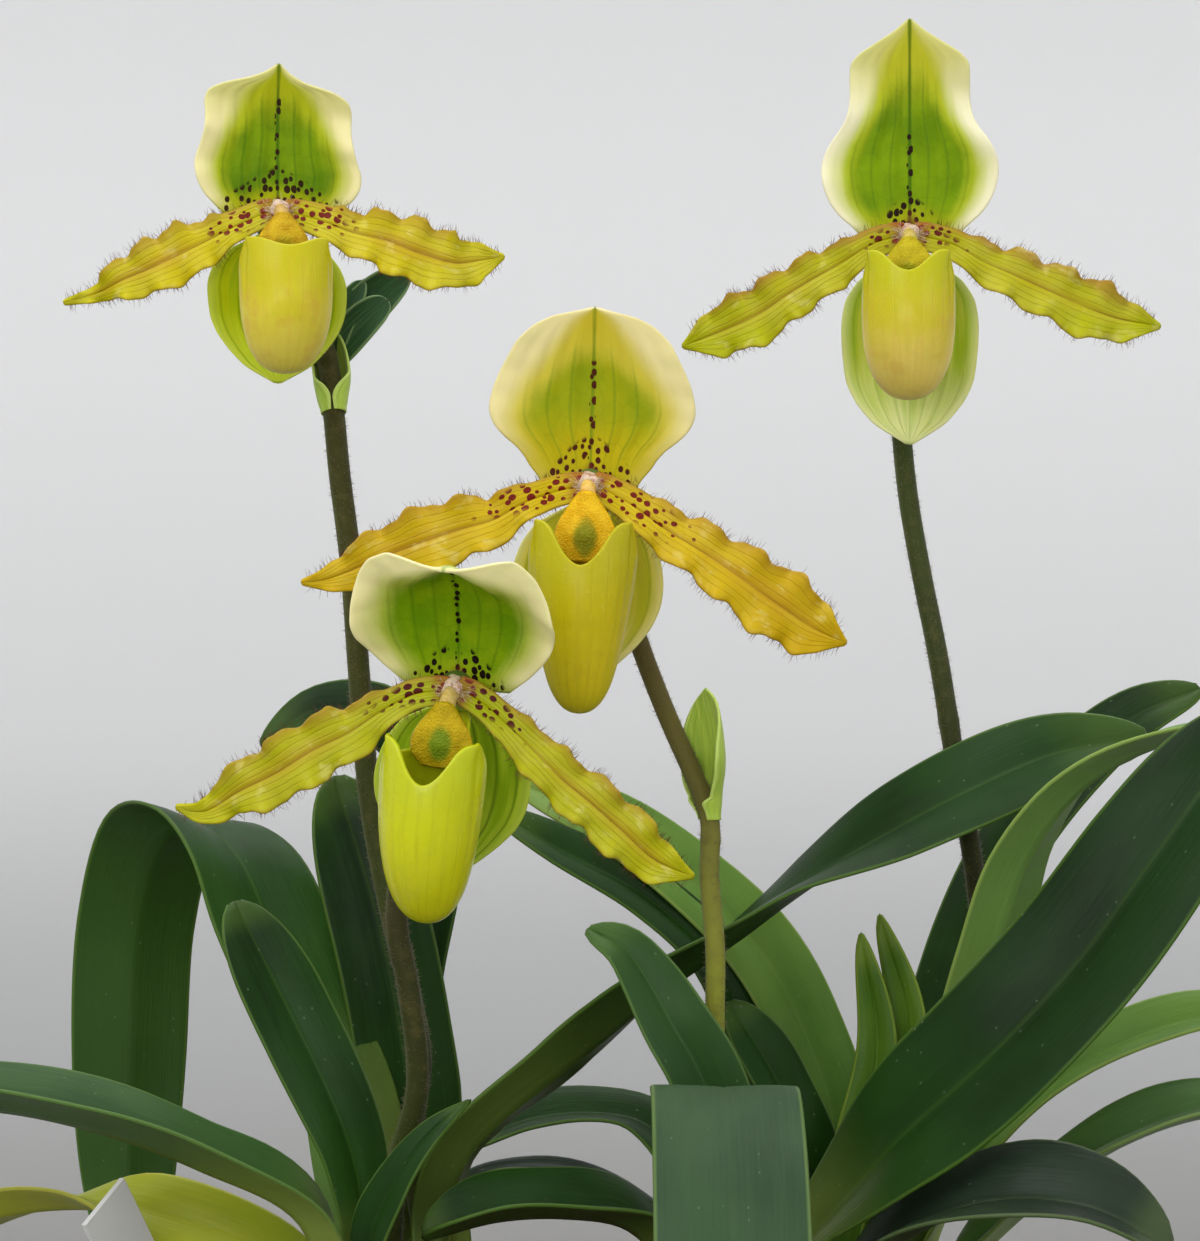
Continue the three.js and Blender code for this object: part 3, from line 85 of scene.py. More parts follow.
LEAVES = [
    leaf("left_yellow", "yellow", 190, 0, 15, 12,
         [[-56, -14, 122], [-67, -13, 128], [-80, -12, 132], [-93, -12, 134], [-107, -13, 133],
          [-120, -14, 129]],
         [[1, 0, 0.4], [0.3, -0.6, 0.8], [0.1, -0.9, 0.5], [0, 0.3, 1], [0, 0.8, 0.6]]),
    leaf("left_long_low", "fresh", 205, 1, 23, 30,
         [[-53, -23, 133], [-70, -31, 144], [-87, -34, 151], [-105, -35, 155], [-121, -34, 155],
          [-136, -29, 149]],
         [[1, 0.1, 0.4], [0.5, -0.1, 0.9], [0.2, -0.1, 1], [0, -0.1, 1], [-0.3, -0.1, 1]]),
    leaf("left_basal", "pale", 165, 2, 10, 25,
         [[-49, -6, 124], [-52, -4, 140], [-54, -3, 153]],
         [[1, 0, 0.3], [0.9, 0.4, 0.3], [0.8, 0.6, 0.2]], tip=0.15, point=0.8),
    leaf("left_upright", "dark", 185, 3.4, 15.2, 14,
         [[-43.5, -14, 131], [-45, -14, 143], [-49, -14, 154], [-57, -12, 170], [-67, -6, 188]],
         [[1, 0, 0.3], [0.6, -0.9, 0.3], [0.35, -1, 0.3], [0.4, -1, 0.5]], ramp=0.66),
    leaf("left_short_front", "plain", -75, 0.4, 11, 16,
         [[-40, -32, 130], [-36, -35, 141], [-30, -36, 150], [-23, -35, 156]],
         [[0.2, 0.8, 0.4], [-0.7, -0.2, 0.4], [-0.6, -1, 0.4], [-0.6, -1, 0.3]], tip=0.15, point=0.8),
    leaf("left_long_diagonal", "plain", -20, 2, 20, 13,
         [[-28.5, -12, 129], [-25, -13, 142], [-18.5, -13, 149.5], [-7, -8, 158], [10, 1, 170.5],
          [26, 8, 181], [38, 7, 190], [52, 4, 199], [68, 1, 208], [84, 0, 215], [101, 0, 218]],
         [[-1, 0, 0.4], [-0.6, 0.5, 0.7], [-0.5, 0.6, 0.8], [-0.5, 0.6, 0.8], [-0.45, 0.3, 0.9],
          [-0.45, -0.1, 0.9], [-0.3, -0.7, 0.7], [0, -0.85, 0.6], [0.1, -0.85, 0.6]]),
    leaf("back_arching", "dark", 190, 0, 24, 12,
         [[-46, 24, 142], [-56, 26, 163], [-64, 30, 180], [-71, 36, 193], [-80, 46, 199], [-89, 58, 195],
          [-95, 66, 178], [-97, 68, 150], [-97, 67, 124], [-95, 65, 104]],
         [[1, 0, 0.3], [0.5, -1, 0.4], [0.3, -0.9, 0.6], [0, 0.2, 1], [-0.1, 1, 0.2], [0, 1, 0], [0, 1, 0]]),
    leaf("back_upright", "dark", 150, 2, 20, 15,
         [[-37, 29, 140], [-39, 31, 160], [-44, 33, 184], [-52, 36, 209]],
         [[0.8, -0.5, 0.2], [0.4, -1, 0.2], [0.2, -1, 0.1], [0.2, -1, 0.2]]),
    leaf("back_tall", "dark", 60, 1, 13, 16,
         [[-35, 39, 145], [-37, 44, 165], [-34, 46, 183], [-31, 47, 198], [-34, 48, 212], [-44, 49, 221],
          [-56, 49, 222], [-67, 48, 215]],
         [[-0.2, -1, 0.2], [-0.2, -1, 0.2], [-0.3, -1, 0.2], [-0.4, -1, 0.3], [-0.3, -1, 0.6]]),
    leaf("centre_short", "fresh", 225, 3.2, 16, 20,
         [[20, -13, 131], [21, -17, 147], [18, -19, 158], [13, -20, 167], [8.5, -19, 175], [4, -18, 181],
          [-2, -16, 184]],
         [[0.8, 0.6, 0.4], [0.4, -0.8, 0.4], [0.3, -1, 0.4], [0.3, -1, 0.5]], tip=0.35),
    leaf("centre_hanging", "hanging", 270, 1.8, 24.5, 1.5,
         [[22, -20, 135], [21, -38, 154], [21, -60, 161], [21, -82, 151], [21, -97, 129], [21, -104, 104],
          [20, -106, 80]],
         [[0, 1, 0.3], [0, 0.9, 0.5], [0, 0.2, 1], [0, -0.5, 0.85], [0, -1, 0.3], [0, -1, 0.1], [0, -1, 0]]),
    leaf("centre_low", "dark", 195, 1.2, 21, 30,
         [[12, -9, 122], [5, -16, 131], [-6, -22, 134], [-18, -25, 134], [-31, -27, 131]],
         [[1, 0, 0.4], [0.4, -0.2, 0.9], [0.1, -0.25, 1], [-0.1, -0.25, 1], [-0.4, -0.2, 0.9]]),
    leaf("centre_dark_low", "low", 165, 0, 14, 20,
         [[12, 3, 122], [4, 8, 131], [-8, 11, 135], [-19, 12, 135], [-29, 10, 132]],
         [[1, 0, 0.4], [0.3, 0.1, 1], [0, 0, 1], [-0.2, 0, 1]]),
    leaf("centre_thin", "dark", 125, 1.6, 14, 22,
         [[17, 10, 122], [16, 18, 135], [8, 24, 143], [-3, 26, 144.5], [-15, 25, 143], [-25, 20, 139]],
         [[0.7, -0.7, 0.5], [0.3, -0.5, 1], [0, -0.4, 1], [-0.1, -0.4, 1]]),
    leaf("right_stub", "dark", 200, 2.2, 13, 18,
         [[39, 8, 139], [32, 8, 155], [24, 9, 168]],
         [[1, 0, 0.3], [0.6, -0.8, 0.4], [0.5, -1, 0.5]]),
    leaf("right_cross_upper", "pale", 150, 1, 17, 14,
         [[45, 27, 140], [38, 28, 163], [29, 28, 178], [15, 29, 191], [0, 30, 201], [-16, 30, 208]],
         [[0.9, -0.4, 0.3], [0.5, -0.9, 0.5], [0.4, -1, 0.6], [0.3, -0.9, 0.8], [0.2, -0.8, 0.9]]),
    leaf("right_cross_lower", "dark", 180, 0, 14, 16,
         [[33, 20, 141], [28, 22, 160], [21, 22, 175], [8, 22, 187], [-8, 20, 196], [-20, 19, 203]],
         [[1, 0, 0.3], [0.6, -0.8, 0.5], [0.4, -0.8, 0.7], [0.3, -0.7, 0.8], [0.2, -0.7, 0.9]]),
    leaf("centre_broad", "broad", -25, 2.4, 26.5, 14,
         [[38, -13, 127], [53, -24, 147], [69, -31, 163.5], [84, -34, 180.5], [97, -36, 199],
          [108, -36, 214], [121, -33, 226]],
         [[-0.9, 0.4, 0.3], [-0.9, -0.4, 0.5], [-0.6, -1, 0.5], [-0.5, -1, 0.4], [-0.4, -1, 0.4],
          [-0.2, -1, 0.7]], tip=0.58),
    leaf("right_turned", "pale", -30, 4, 14, 14,
         [[61, 4, 138], [67, -3, 158], [72, -10, 179], [77, -15, 197], [86, -19, 210], [97, -20, 217],
          [110, -18, 220], [124, -14, 217]],
         [[-0.8, 0.5, 0.3], [-0.4, 0.9, 0.3], [-0.3, 1, 0.3], [-0.3, 0.9, 0.4], [-0.2, 0.4, 0.9],
          [0, 0.1, 1], [0.3, 0, 1]]),
    leaf("right_tall_back", "dark", 40, 2.2, 15, 14,
         [[60, 28, 138], [66, 35, 158], [73, 40, 178], [82, 44, 195], [95, 46, 211], [107, 46, 221],
          [119, 46, 226]],
         [[-0.7, -0.6, 0.3], [-0.5, -1, 0.3], [-0.5, -1, 0.3], [-0.5, -1, 0.4], [-0.4, -0.9, 0.6]]),
    leaf("right_side", "pale", 8, 1.2, 14, 24,
         [[66, 8, 132], [77, 3, 147], [89, -1, 157.5], [101, -3, 163.5], [114, -3, 166.5], [130, 0, 165]],
         [[-1, 0, 0.3], [-0.6, -0.4, 0.8], [-0.3, -0.5, 0.9], [0, -0.5, 1], [0.3, -0.4, 1]]),
    # This leaf's greens are partly its own pale green, partly painted light against the broad leaf's shade.
    leaf("right_low_side", "bright_painted_lit", -15, 0, 18, 24,
         [[66, 0, 119], [80, -10, 135], [93, -16, 145.5], [108, -19, 151.5], [125, -18, 152]],
         [[-1, 0.2, 0.3], [-0.5, -0.2, 0.9], [-0.2, -0.3, 1], [0, -0.3, 1], [0.3, -0.2, 1]]),
    leaf("centre_low_front", "low", -48, 0.2, 25, 22,
         [[42, -20, 120], [56, -32, 133.5], [70, -41, 139.5], [84, -46, 139], [97, -48, 132.5]],
         [[-0.7, 0.7, 0.4], [-0.4, 0.1, 0.9], [0, -0.4, 0.9], [0.1, -0.45, 0.9], [0.2, -0.4, 0.9]]),
]

BLOOMS = [
    dict(
        name="bloom_upper_left", at=[-60.4, 12, 317], yaw=11, nod=2, roll=0,
        dorsal=dict(length=28.3, lean=[-8, 16], cup=0.12, wave=0.7, waves=2.5, slant=0.05,
                    half=[10.4, 12.2, 13.8, 14.8, 15.4, 15.6, 15.6, 15.2, 14.7, 14.3, 14, 13.8, 13.7, 13.7,
                          13.8, 13.6, 12.9, 10.4, 5.2, 2.1, 0.3]),
        petals=[
            [[2.4, -0.3, 1.2, 5.4], [8.1, -1.9, 1.5, 6.4], [13.8, -4.1, 2.5, 8], [20.4, -5.8, 3.5, 10.4],
             [27, -8.3, 4, 11.6], [33.2, -10, 4, 10.8], [38.2, -9.4, 3, 8], [42.2, -8.6, 2, 1.6]],
            [[-2.4, -0.3, 1.2, 5.4], [-7, -2.3, 1.5, 6], [-12.6, -5.3, 2.5, 8.4], [-18.3, -8.3, 3.5, 10.6],
             [-24, -11.1, 4, 9.8], [-29, -13.2, 4, 7.4], [-34.3, -15.7, 3, 2.8], [-40.2, -17.2, 2, 1.8]],
        ],
        synsepal=dict(length=28, half=[3.5, 9.5, 12, 13, 13, 12.6, 11.4, 9.2, 6.2, 0.8]),
        lip=dict(top=-6.2, notch=-7.8, bottom=-30.8, half=7.9, low=8.2, depth=8, forward=11),
        shield=dict(width=9, height=7.6),
    ),
    dict(
        name="bloom_upper_right", at=[58, 8, 312], yaw=-6, nod=2, roll=0,
        dorsal=dict(length=41, lean=[-6, 10], cup=0.1, wave=0.8, waves=2.5,
                    half=[8.8, 10.6, 13, 14.6, 15.6, 16.2, 16.5, 16.3, 15.6, 14.4, 12.9, 11.8, 11.3, 11.1,
                          11.1, 11.1, 10.9, 9.2, 6, 2.8, 0.3]),
        petals=[
            [[2.4, -0.2, 1.2, 5.4], [8.1, -1.8, 1.5, 6], [13.7, -5.1, 2.5, 8], [19.3, -7.7, 3.5, 9.6],
             [24.9, -10.3, 4, 10], [31.5, -13.3, 4, 10.8], [38, -15.6, 3.5, 7.6], [46.5, -17.1, 2, 1.8]],
            [[-2.4, -0.2, 1.2, 5.4], [-7.3, -1.8, 1.5, 6], [-12.6, -5.1, 2.5, 8], [-17.8, -8.1, 3.5, 9],
             [-22.9, -11.2, 4, 9.6], [-28.5, -15, 4, 10.4], [-34.7, -17.8, 3.5, 8.6],
             [-42.4, -20.8, 2, 1.8]],
        ],
        synsepal=dict(length=34.8, half=[3.5, 9.5, 12, 12.7, 12.7, 12.4, 11.8, 10, 6.8, 0.8]),
        lip=dict(top=-4, notch=-8, bottom=-31, half=7.7, low=8.4, depth=8.4, forward=11.5),
        shield=dict(width=9, height=7.6),
    ),
    dict(
        name="bloom_middle", at=[-2, -22, 264], yaw=-3, nod=6, roll=2,
        dorsal=dict(length=31.8, lean=[-8, 14], cup=0.06, wave=0.5, waves=1.5,
                    half=[8.4, 9.5, 10.8, 11.8, 13.2, 15.2, 16.8, 17.8, 18.3, 18.3, 18, 17.6, 17, 16.3, 15.5,
                          14.7, 13.8, 12.4, 10.6, 7.4, 0.6]),
        petals=[
            [[2.4, -0.5, 1.2, 5.4], [7.5, -3.4, 1.5, 6.6], [13.9, -8, 2.8, 8.8], [20.5, -12.1, 4, 9.8],
             [27.1, -16.6, 4.5, 11], [33.9, -21.4, 4, 12.4], [40.2, -25.5, 3, 10.6], [45.6, -28, 2, 2]],
            [[-2.4, -0.3, 1.2, 5.4], [-6.1, -1.2, 1.5, 5.8], [-11.6, -3.2, 2.8, 7.6], [-17, -6.2, 4, 10.2],
             [-23.2, -8, 4.5, 11.6], [-30.3, -10.4, 4, 10.8], [-39.3, -13.9, 3, 9], [-46.4, -16.6, 1.5, 5.2],
             [-51, -17.2, 0.5, 1.6]],
        ],
        synsepal=dict(length=32, half=[3.5, 9.5, 12, 13.2, 13.6, 13.2, 11.8, 9.2, 5.6, 0.8]),
        lip=dict(top=-5.4, notch=-12.6, bottom=-39.4, half=8.8, low=7.2, depth=8.6, forward=11.5),
        shield=dict(width=10.4, height=11),
    ),
    dict(
        name="bloom_front", at=[-25, -50, 228], yaw=-10, nod=12, roll=6,
        dorsal=dict(length=33, lean=[2, 92], cup=0.34, wave=1.2, waves=1.5, ears=4.2,
                    half=[9.2, 12.6, 15, 16.6, 17.3, 17.4, 17.1, 16.1, 13.9, 9.7, 1]),
        petals=[
            [[2.4, -0.3, 1.4, 5], [5.6, -2.4, 1.6, 5.2], [9.7, -6.1, 2.5, 6.8], [13.9, -10.2, 3.5, 7.8],
             [18.2, -14.5, 4, 8.6], [23.3, -18.7, 4, 9], [28.7, -23.5, 3.5, 9], [34.4, -28.6, 2.5, 7],
             [40.7, -31.4, 1.5, 1.6]],
            [[-2.4, 0.1, 1.4, 5], [-6.5, -0.6, 1.6, 5.2], [-11.6, -3.1, 2.5, 7.2], [-17.5, -7, 3.5, 9.8],
             [-23.5, -9.9, 4, 10.4], [-29.4, -13.6, 4, 10], [-36.2, -17, 3, 8.4], [-42.2, -20.4, 2, 4.6],
             [-46.8, -19.7, 1, 1.4]],
        ],
        synsepal=dict(length=30, half=[3.5, 9.5, 12, 13.2, 13.6, 13.2, 11.8, 9, 5.4, 0.8]),
        lip=dict(top=-5, notch=-11.4, bottom=-37.6, half=8.2, low=7.8, depth=8.6, forward=11.5),
        shield=dict(width=10.2, height=9.6),
    ),
]

STALKS = [
    dict(name="stalk_upper_left", growth="back", bloom=0, radius=2.1,
         letter="a", codes="2e390e 38380e 4c641a",
         path=[[-36, 20, 140], [-34, 15, 157], [-36, 13, 170], [-40, 13, 187], [-43.6, 15, 206],
               [-45.6, 17, 227], [-47.6, 20, 251], [-50, 23.6, 268], [-51.4, 27, 280], [-52.8, 30, 290],
               [-56.5, 31, 300]]),
    dict(name="stalk_upper_right", growth="right", bloom=1, radius=1.9,
         letter="b", codes="2a2418 343e14 566e20",
         path=[[58, 18, 136], [68, 19, 156], [73, 18, 172], [72, 16, 184], [70, 14, 198], [67, 13, 214],
               [64, 14, 233], [61, 18, 250], [59, 22, 264], [58, 27, 280], [58, 29, 295]]),
    dict(name="stalk_middle", growth="centre", bloom=2, radius=1.8,
         letter="c", codes="969c34 5a4e28 566e20",
         path=[[22, -6, 143], [21, -8, 164], [21, -9, 180], [20, -8, 193], [20, -6, 204], [17, -5, 212],
               [13, -4, 221], [9, -3, 231], [4, -2, 245]]),
    dict(name="stalk_front", growth="left", bloom=3, radius=2,
         letter="d", codes="303a0e 322c10 4c641a",
         path=[[-36.5, -19, 141], [-32.5, -24, 157], [-34, -26, 175], [-36, -26, 186], [-35, -25, 197],
               [-31, -27, 210]]),
]

BRACTS = dict(  # each one's blades, which are curled across by wrap degrees to either side
    bract_upper_left=[
        dict(stalk=0, width=12, wrap=100, foot=0.2, clasp=172,
             path=[[-50.9, 30, 279], [-51.6, 32, 285], [-52.8, 33.8, 291], [-55.4, 34.9, 299]],
             face=[[0, -1, 0.2], [0, -1, 0.3], [0, -1, 0.2]]),
    ],
    bract_upper_left_dark=[
        dict(width=8.4, wrap=60, foot=0.05, blunt=0.42,
             path=[[-53.2, 34, 290], [-49.6, 33.4, 294.6], [-45.4, 33, 299], [-41.4, 33.2, 302.4]],
             face=[[-0.1, -0.9, -0.3], [-0.2, -0.9, -0.2], [-0.2, -0.9, -0.1]]),
        dict(width=6.4, wrap=50, foot=0.05, blunt=0.42,
             path=[[-53, 34.8, 290.4], [-51, 34.8, 296], [-48.6, 35, 301.6], [-46.4, 35.2, 306.4]],
             face=[[-0.3, -0.9, 0], [-0.3, -0.9, 0], [-0.3, -0.9, 0]]),
        dict(width=10, wrap=52, foot=0.05, blunt=0.42,
             path=[[-52.4, 35.8, 290.8], [-48, 36.6, 298], [-42.8, 36, 303.8], [-37.6, 34.6, 308.2]],
             face=[[-0.2, -0.9, -0.1], [-0.3, -0.9, -0.1], [-0.3, -0.9, -0.2]]),
    ],
    bract_upper_right=[
        dict(stalk=1, width=11, wrap=98, foot=0.2, clasp=172,
             path=[[58.4, 28.9, 276], [58.2, 31.6, 284], [58, 33.4, 292], [58, 35, 300]],
             face=[[0, -1, 0.2], [0, -1, 0.3], [0, -1, 0.2]]),
    ],
    bract_middle=[
        dict(stalk=2, width=15, wrap=83, foot=0.08, clasp=140, opens=0.3,
             path=[[22, -4.3, 203.6], [22, -4.3, 210], [21.2, -4.8, 218.5], [19.4, -5.8, 227.3]],
             face=[[-0.8, -0.6, 0.1], [-0.8, -0.6, 0.1], [-0.7, -0.7, 0.1]]),
    ],
    bract_front=[
        dict(stalk=3, width=11, wrap=95, foot=0.2, clasp=172,
             path=[[-34.7, -22, 196], [-33.8, -21.8, 201], [-32.2, -21.6, 207], [-30.8, -21, 215]],
             face=[[0, -1, 0.2], [0, -1, 0.1], [0, -1, 0.1]]),
    ],
)

# ---------------------------------------------------------------- numbers and curves


def mix(a, b, k):
    return a + (b - a) * k


def ease(low, high, x):
    """A smooth step from 0 at low to 1 at high."""
    k = np.clip((x - low) / (high - low), 0, 1)
    return k * k * (3 - 2 * k)


def hump(x, middle, width):
    """A bell of height 1 round the middle."""
    return np.exp(-(((x - middle) / width) ** 2))


def unit(v):
    return v / np.maximum(np.linalg.norm(v, axis=-1, keepdims=True), 1e-12)


class Curve:
    """A centripetal Catmull-Rom curve through points, read by share of its length."""

    def __init__(self, points):
        points = np.array(points, float)
        first, last = 2 * points[0] - points[1], 2 * points[-1] - points[-2]
        self.knots = np.vstack([first, points, last])
        self.spans = len(points) - 1
        self.table = np.linspace(0, 1, 201)
        steps = np.linalg.norm(np.diff(self.point(self.table), axis=0), axis=1)
        self.lengths = np.concatenate([[0], np.cumsum(steps)])
        self.length = self.lengths[-1]

    def point(self, place):
        place = np.clip(np.asarray(place, float), 0, 1) * self.spans
        k = np.minimum(place.astype(int), self.spans - 1)
        w = (place - k)[..., None]
        a, b, c, d = (self.knots[k + i] for i in range(4))
        before, here, after = (np.sqrt(np.linalg.norm(v - u, axis=-1, keepdims=True))
                               for u, v in ((a, b), (b, c), (c, d)))
        here = np.where(here < 1e-4, 1, here)
        before = np.where(before < 1e-4, here, before)
        after = np.where(after < 1e-4, here, after)
        leave = ((b - a) / before - (c - a) / (before + here) + (c - b) / here) * here
        arrive = ((c - b) / here - (d - b) / (here + after) + (d - c) / after) * here
        bend, turn = 3 * (c - b) - 2 * leave - arrive, 2 * (b - c) + leave + arrive
        return b + leave * w + bend * w**2 + turn * w**3

    def place(self, share):
        return np.interp(np.clip(share, 0, 1) * self.length, self.lengths, self.table)

    def at(self, share):
        return self.point(self.place(share))

    def tangent(self, share):
        place = self.place(share)
        return unit(self.point(place + 1e-4) - self.point(place - 1e-4))


def smooth_list(values):
    """A smooth value read from a list that is spread evenly over 0..1."""
    curve = Curve([[i, value, 0] for i, value in enumerate(values)])
    return lambda s: np.maximum(curve.point(s)[..., 1], min(values))


def ribbon(curve, faces):
    """A midrib's points with the way across and the upper side at each share of the way."""
    face_curve = Curve(faces)

    def read(s):
        tangent = curve.tangent(s)
        side = unit(np.cross(unit(face_curve.point(s)), tangent))
        return curve.at(s), side, unit(np.cross(tangent, side))

    return read


def spread(count, to_ends=0.0):
    """Shares 0..1, closer together towards both ends where to_ends is more than 0."""
    even = np.linspace(0, 1, count)
    return mix(even, (1 - np.cos(math.pi * even)) / 2, to_ends)


def spread_across(count, to_ends=0.0):
    """Shares -1..1 from one margin of a blade to the other."""
    return mix(spread(count), spread(count, 1), to_ends) * 2 - 1


# ---------------------------------------------------------------- meshes


def show(name, data):
    """Puts a mesh, a light or a camera into the scene as an object."""
    piece = bpy.data.objects.new(name, data)
    bpy.context.scene.collection.objects.link(piece)
    return piece


def add_piece(name, parts, material, slot=None):
    """Makes a piece from points in millimetres, faces, and number fields on the points for its material."""
    points, faces, fields = parts
    mesh = bpy.data.meshes.new(name)
    mesh.from_pydata((np.asarray(points) * MM).tolist(), [], faces)
    mesh.shade_smooth()
    for key, values in fields.items():
        layer = mesh.attributes.new(key, "FLOAT", "POINT")
        layer.data.foreach_set("value", values.astype(np.float32))
    mesh.materials.append(material)
    piece = show(name, mesh)
    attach(piece, "root")
    return piece


def stand_in(node, parts, material, slot):
    """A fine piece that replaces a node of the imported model."""
    piece = add_piece("fine_" + node, parts, material, slot)
    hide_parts(node)
    return piece


def around(sides):
    """Each corner of a ring with the next one."""
    return [(j, (j + 1) % sides) for j in range(sides)]


def ring_faces(rings, sides):
    """Faces between rings of points, one ring after the other."""
    return [[i * sides + j, i * sides + k, (i + 1) * sides + k, (i + 1) * sides + j]
            for i in range(rings - 1) for j, k in around(sides)]


def closed_rings(rings, sides):
    """Ring faces, and a fan at each end to its pole. The two poles come after the rings."""
    pole, last = rings * sides, (rings - 1) * sides
    fans = [face for j, k in around(sides) for face in ([pole, k, j], [pole + 1, last + j, last + k])]
    return ring_faces(rings, sides) + fans


class Blade:
    """Two faces of a surface and the round edge between them.

    above and below say how far each face stands off the surface at (s, t): s runs along and t across. The
    fields are along, across, far and wide (the same in millimetres) and under, which is 1 on the lower face.
    """

    def __init__(self, surface, s, t, above, below, matrix=None):
        grid_s, grid_t = np.meshgrid(s, t, indexing="ij")
        middle = surface(grid_s, grid_t)
        step = 1e-3
        ahead, behind = np.minimum(grid_s + step, s[-1]), np.maximum(grid_s - step, s[0])
        along = surface(ahead, grid_t) - surface(behind, grid_t)
        over = surface(grid_s, np.minimum(grid_t + step, 1)) - surface(grid_s, np.maximum(grid_t - step, -1))
        normal = unit(np.cross(along, over))
        up = np.broadcast_to(above(grid_s, grid_t), grid_s.shape)[..., None]
        low = np.broadcast_to(below(grid_s, grid_t), grid_s.shape)[..., None]
        outward = np.zeros_like(middle)
        for side, inner in ((0, 1), (-1, -2)):
            outward[:, side] += unit(middle[:, side] - middle[:, inner])
            outward[side] += unit(middle[side] - middle[inner])
        edge = middle + normal * (up - low) / 2 + unit(outward) * (up + low) * 0.45

        rows, columns = grid_s.shape
        count = rows * columns
        index = np.arange(count).reshape(rows, columns)
        ring = np.concatenate([index[:-1, 0], index[-1, :-1], index[:0:-1, -1], index[0, :0:-1]])
        flat = [part.reshape(-1, 3) for part in (middle + normal * up, middle - normal * low, edge)]
        self.points = np.vstack([flat[0], flat[1], flat[2][ring]])
        if matrix is not None:
            self.points = move(matrix, self.points)

        corners = [index[:-1, :-1], index[1:, :-1], index[1:, 1:], index[:-1, 1:]]
        quads = np.stack(corners, axis=-1).reshape(-1, 4)
        ring_next = np.roll(ring, -1)
        rim = np.arange(len(ring)) + 2 * count
        rim_next = np.roll(rim, -1)
        self.faces = np.vstack([
            quads,
            quads[:, ::-1] + count,
            np.stack([ring_next, ring, rim, rim_next], axis=1),
            np.stack([rim_next, rim, ring + count, ring_next + count], axis=1),
        ]).tolist()

        reach = np.cumsum(np.linalg.norm(np.diff(middle, axis=1, prepend=middle[:, :1]), axis=-1), axis=1)
        wide = reach - reach[:, [columns // 2]]
        spine = middle[:, columns // 2]
        far = np.cumsum(np.linalg.norm(np.diff(spine, axis=0, prepend=spine[:1]), axis=-1))
        far = np.broadcast_to(far[:, None], grid_s.shape)
        self.fields = {}
        for key, values in dict(along=grid_s, across=grid_t, wide=wide, far=far).items():
            values = values.ravel()
            self.fields[key] = np.concatenate([values, values, values[ring]])
        self.fields["under"] = np.concatenate([np.zeros(count), np.ones(count), np.full(len(ring), 0.5)])

    def parts(self, **more):
        """Points, faces and fields, with more fields that are the same all over."""
        more = {key: np.full(len(self.points), float(number)) for key, number in more.items()}
        return self.points, self.faces, {**self.fields, **more}


def join(*parts):
    """Several (points, faces, fields) as one."""
    faces, start = [], 0
    for part in parts:
        faces += [[corner + start for corner in face] for face in part[1]]
        start += len(part[0])
    fields = {key: np.concatenate([part[2][key] for part in parts]) for key in parts[0][2]}
    return np.vstack([part[0] for part in parts]), faces, fields


def turned(angle):
    """A turn about Z, in radians."""
    cos, sin = math.cos(angle), math.sin(angle)
    return np.array([[cos, -sin, 0], [sin, cos, 0], [0, 0, 1]])


def matrix_of(bloom):
    """Where a bloom's own axes stand: turned by its roll, then its nod, then its yaw."""
    nod, roll, yaw = (turned(math.radians(bloom[key])) for key in ("nod", "roll", "yaw"))
    about_x = np.roll(nod, (1, 1), (0, 1))
    about_y = np.roll(roll, (2, 2), (0, 1))
    return yaw @ about_x @ about_y, np.array(bloom["at"], float)


def move(matrix, points):
    turn, place = matrix
    return np.asarray(points) @ turn.T + place


def rod(curve, radius, shares, sides):
    """A rod round a curve, closed at both ends. radius is read at a share of the way and angles round it."""
    centres, tangents = curve.at(shares), curve.tangent(shares)
    arm = unit(np.cross(tangents[0], [0.3, 1, 0.2]))
    angles = np.linspace(0, 2 * math.pi, sides, endpoint=False)
    points = []
    for centre, tangent, share in zip(centres, tangents, shares):
        arm = unit(arm - tangent * arm.dot(tangent))
        other = np.cross(tangent, arm)
        reach = radius(share, angles)
        across, up = np.cos(angles) * reach, np.sin(angles) * reach
        points.append(centre + across[:, None] * arm + up[:, None] * other)
    along = np.concatenate([np.repeat(shares, sides), [shares[0], shares[-1]]])
    turn = np.cos(np.concatenate([np.tile(angles, len(shares)), [0, 0]]))
    points = np.vstack([*points, centres[[0, -1]]])
    return points, closed_rings(len(shares), sides), dict(along=along, turn=turn)


def hairs(tufts, radius, rng):
    """Fine bent hairs as three-sided spikes, from tufts of (roots, ways, lengths)."""
    roots, ways, lengths = (np.concatenate(parts) for parts in zip(*tufts))
    ways, lengths, count = unit(ways), lengths[:, None], len(roots)
    side = unit(np.cross(ways, rng.normal(size=(count, 3))))
    other = np.cross(ways, side)
    lean = side * HAIR["bend"]
    middle = roots + ways * lengths * 0.55 + lean * lengths * 0.12
    points = np.empty((count, 7, 3))
    for k in range(3):
        angle = 2 * math.pi * k / 3
        arm = side * math.cos(angle) + other * math.sin(angle)
        points[:, k] = roots - ways * HAIR["rooted"] + arm * radius
        points[:, k + 3] = middle + arm * radius * 0.62
    points[:, 6] = roots + ways * lengths + lean * lengths * 0.5
    pattern = [[0, 1, 4, 3], [1, 2, 5, 4], [2, 0, 3, 5], [3, 4, 6], [4, 5, 6], [5, 3, 6]]
    faces = [[corner + 7 * i for corner in face] for i in range(count) for face in pattern]
    along = np.tile([0, 0, 0, 0.55, 0.55, 0.55, 1], count)
    return points.reshape(-1, 3), faces, dict(along=along)


# ---------------------------------------------------------------- materials


def rgb(code):
    """A colour from its six-digit screen code."""
    parts = [int(code[i:i + 2], 16) / 255 for i in (0, 2, 4)]
    return (*(p / 12.92 if p <= 0.04045 else ((p + 0.055) / 1.055) ** 2.4 for p in parts), 1)


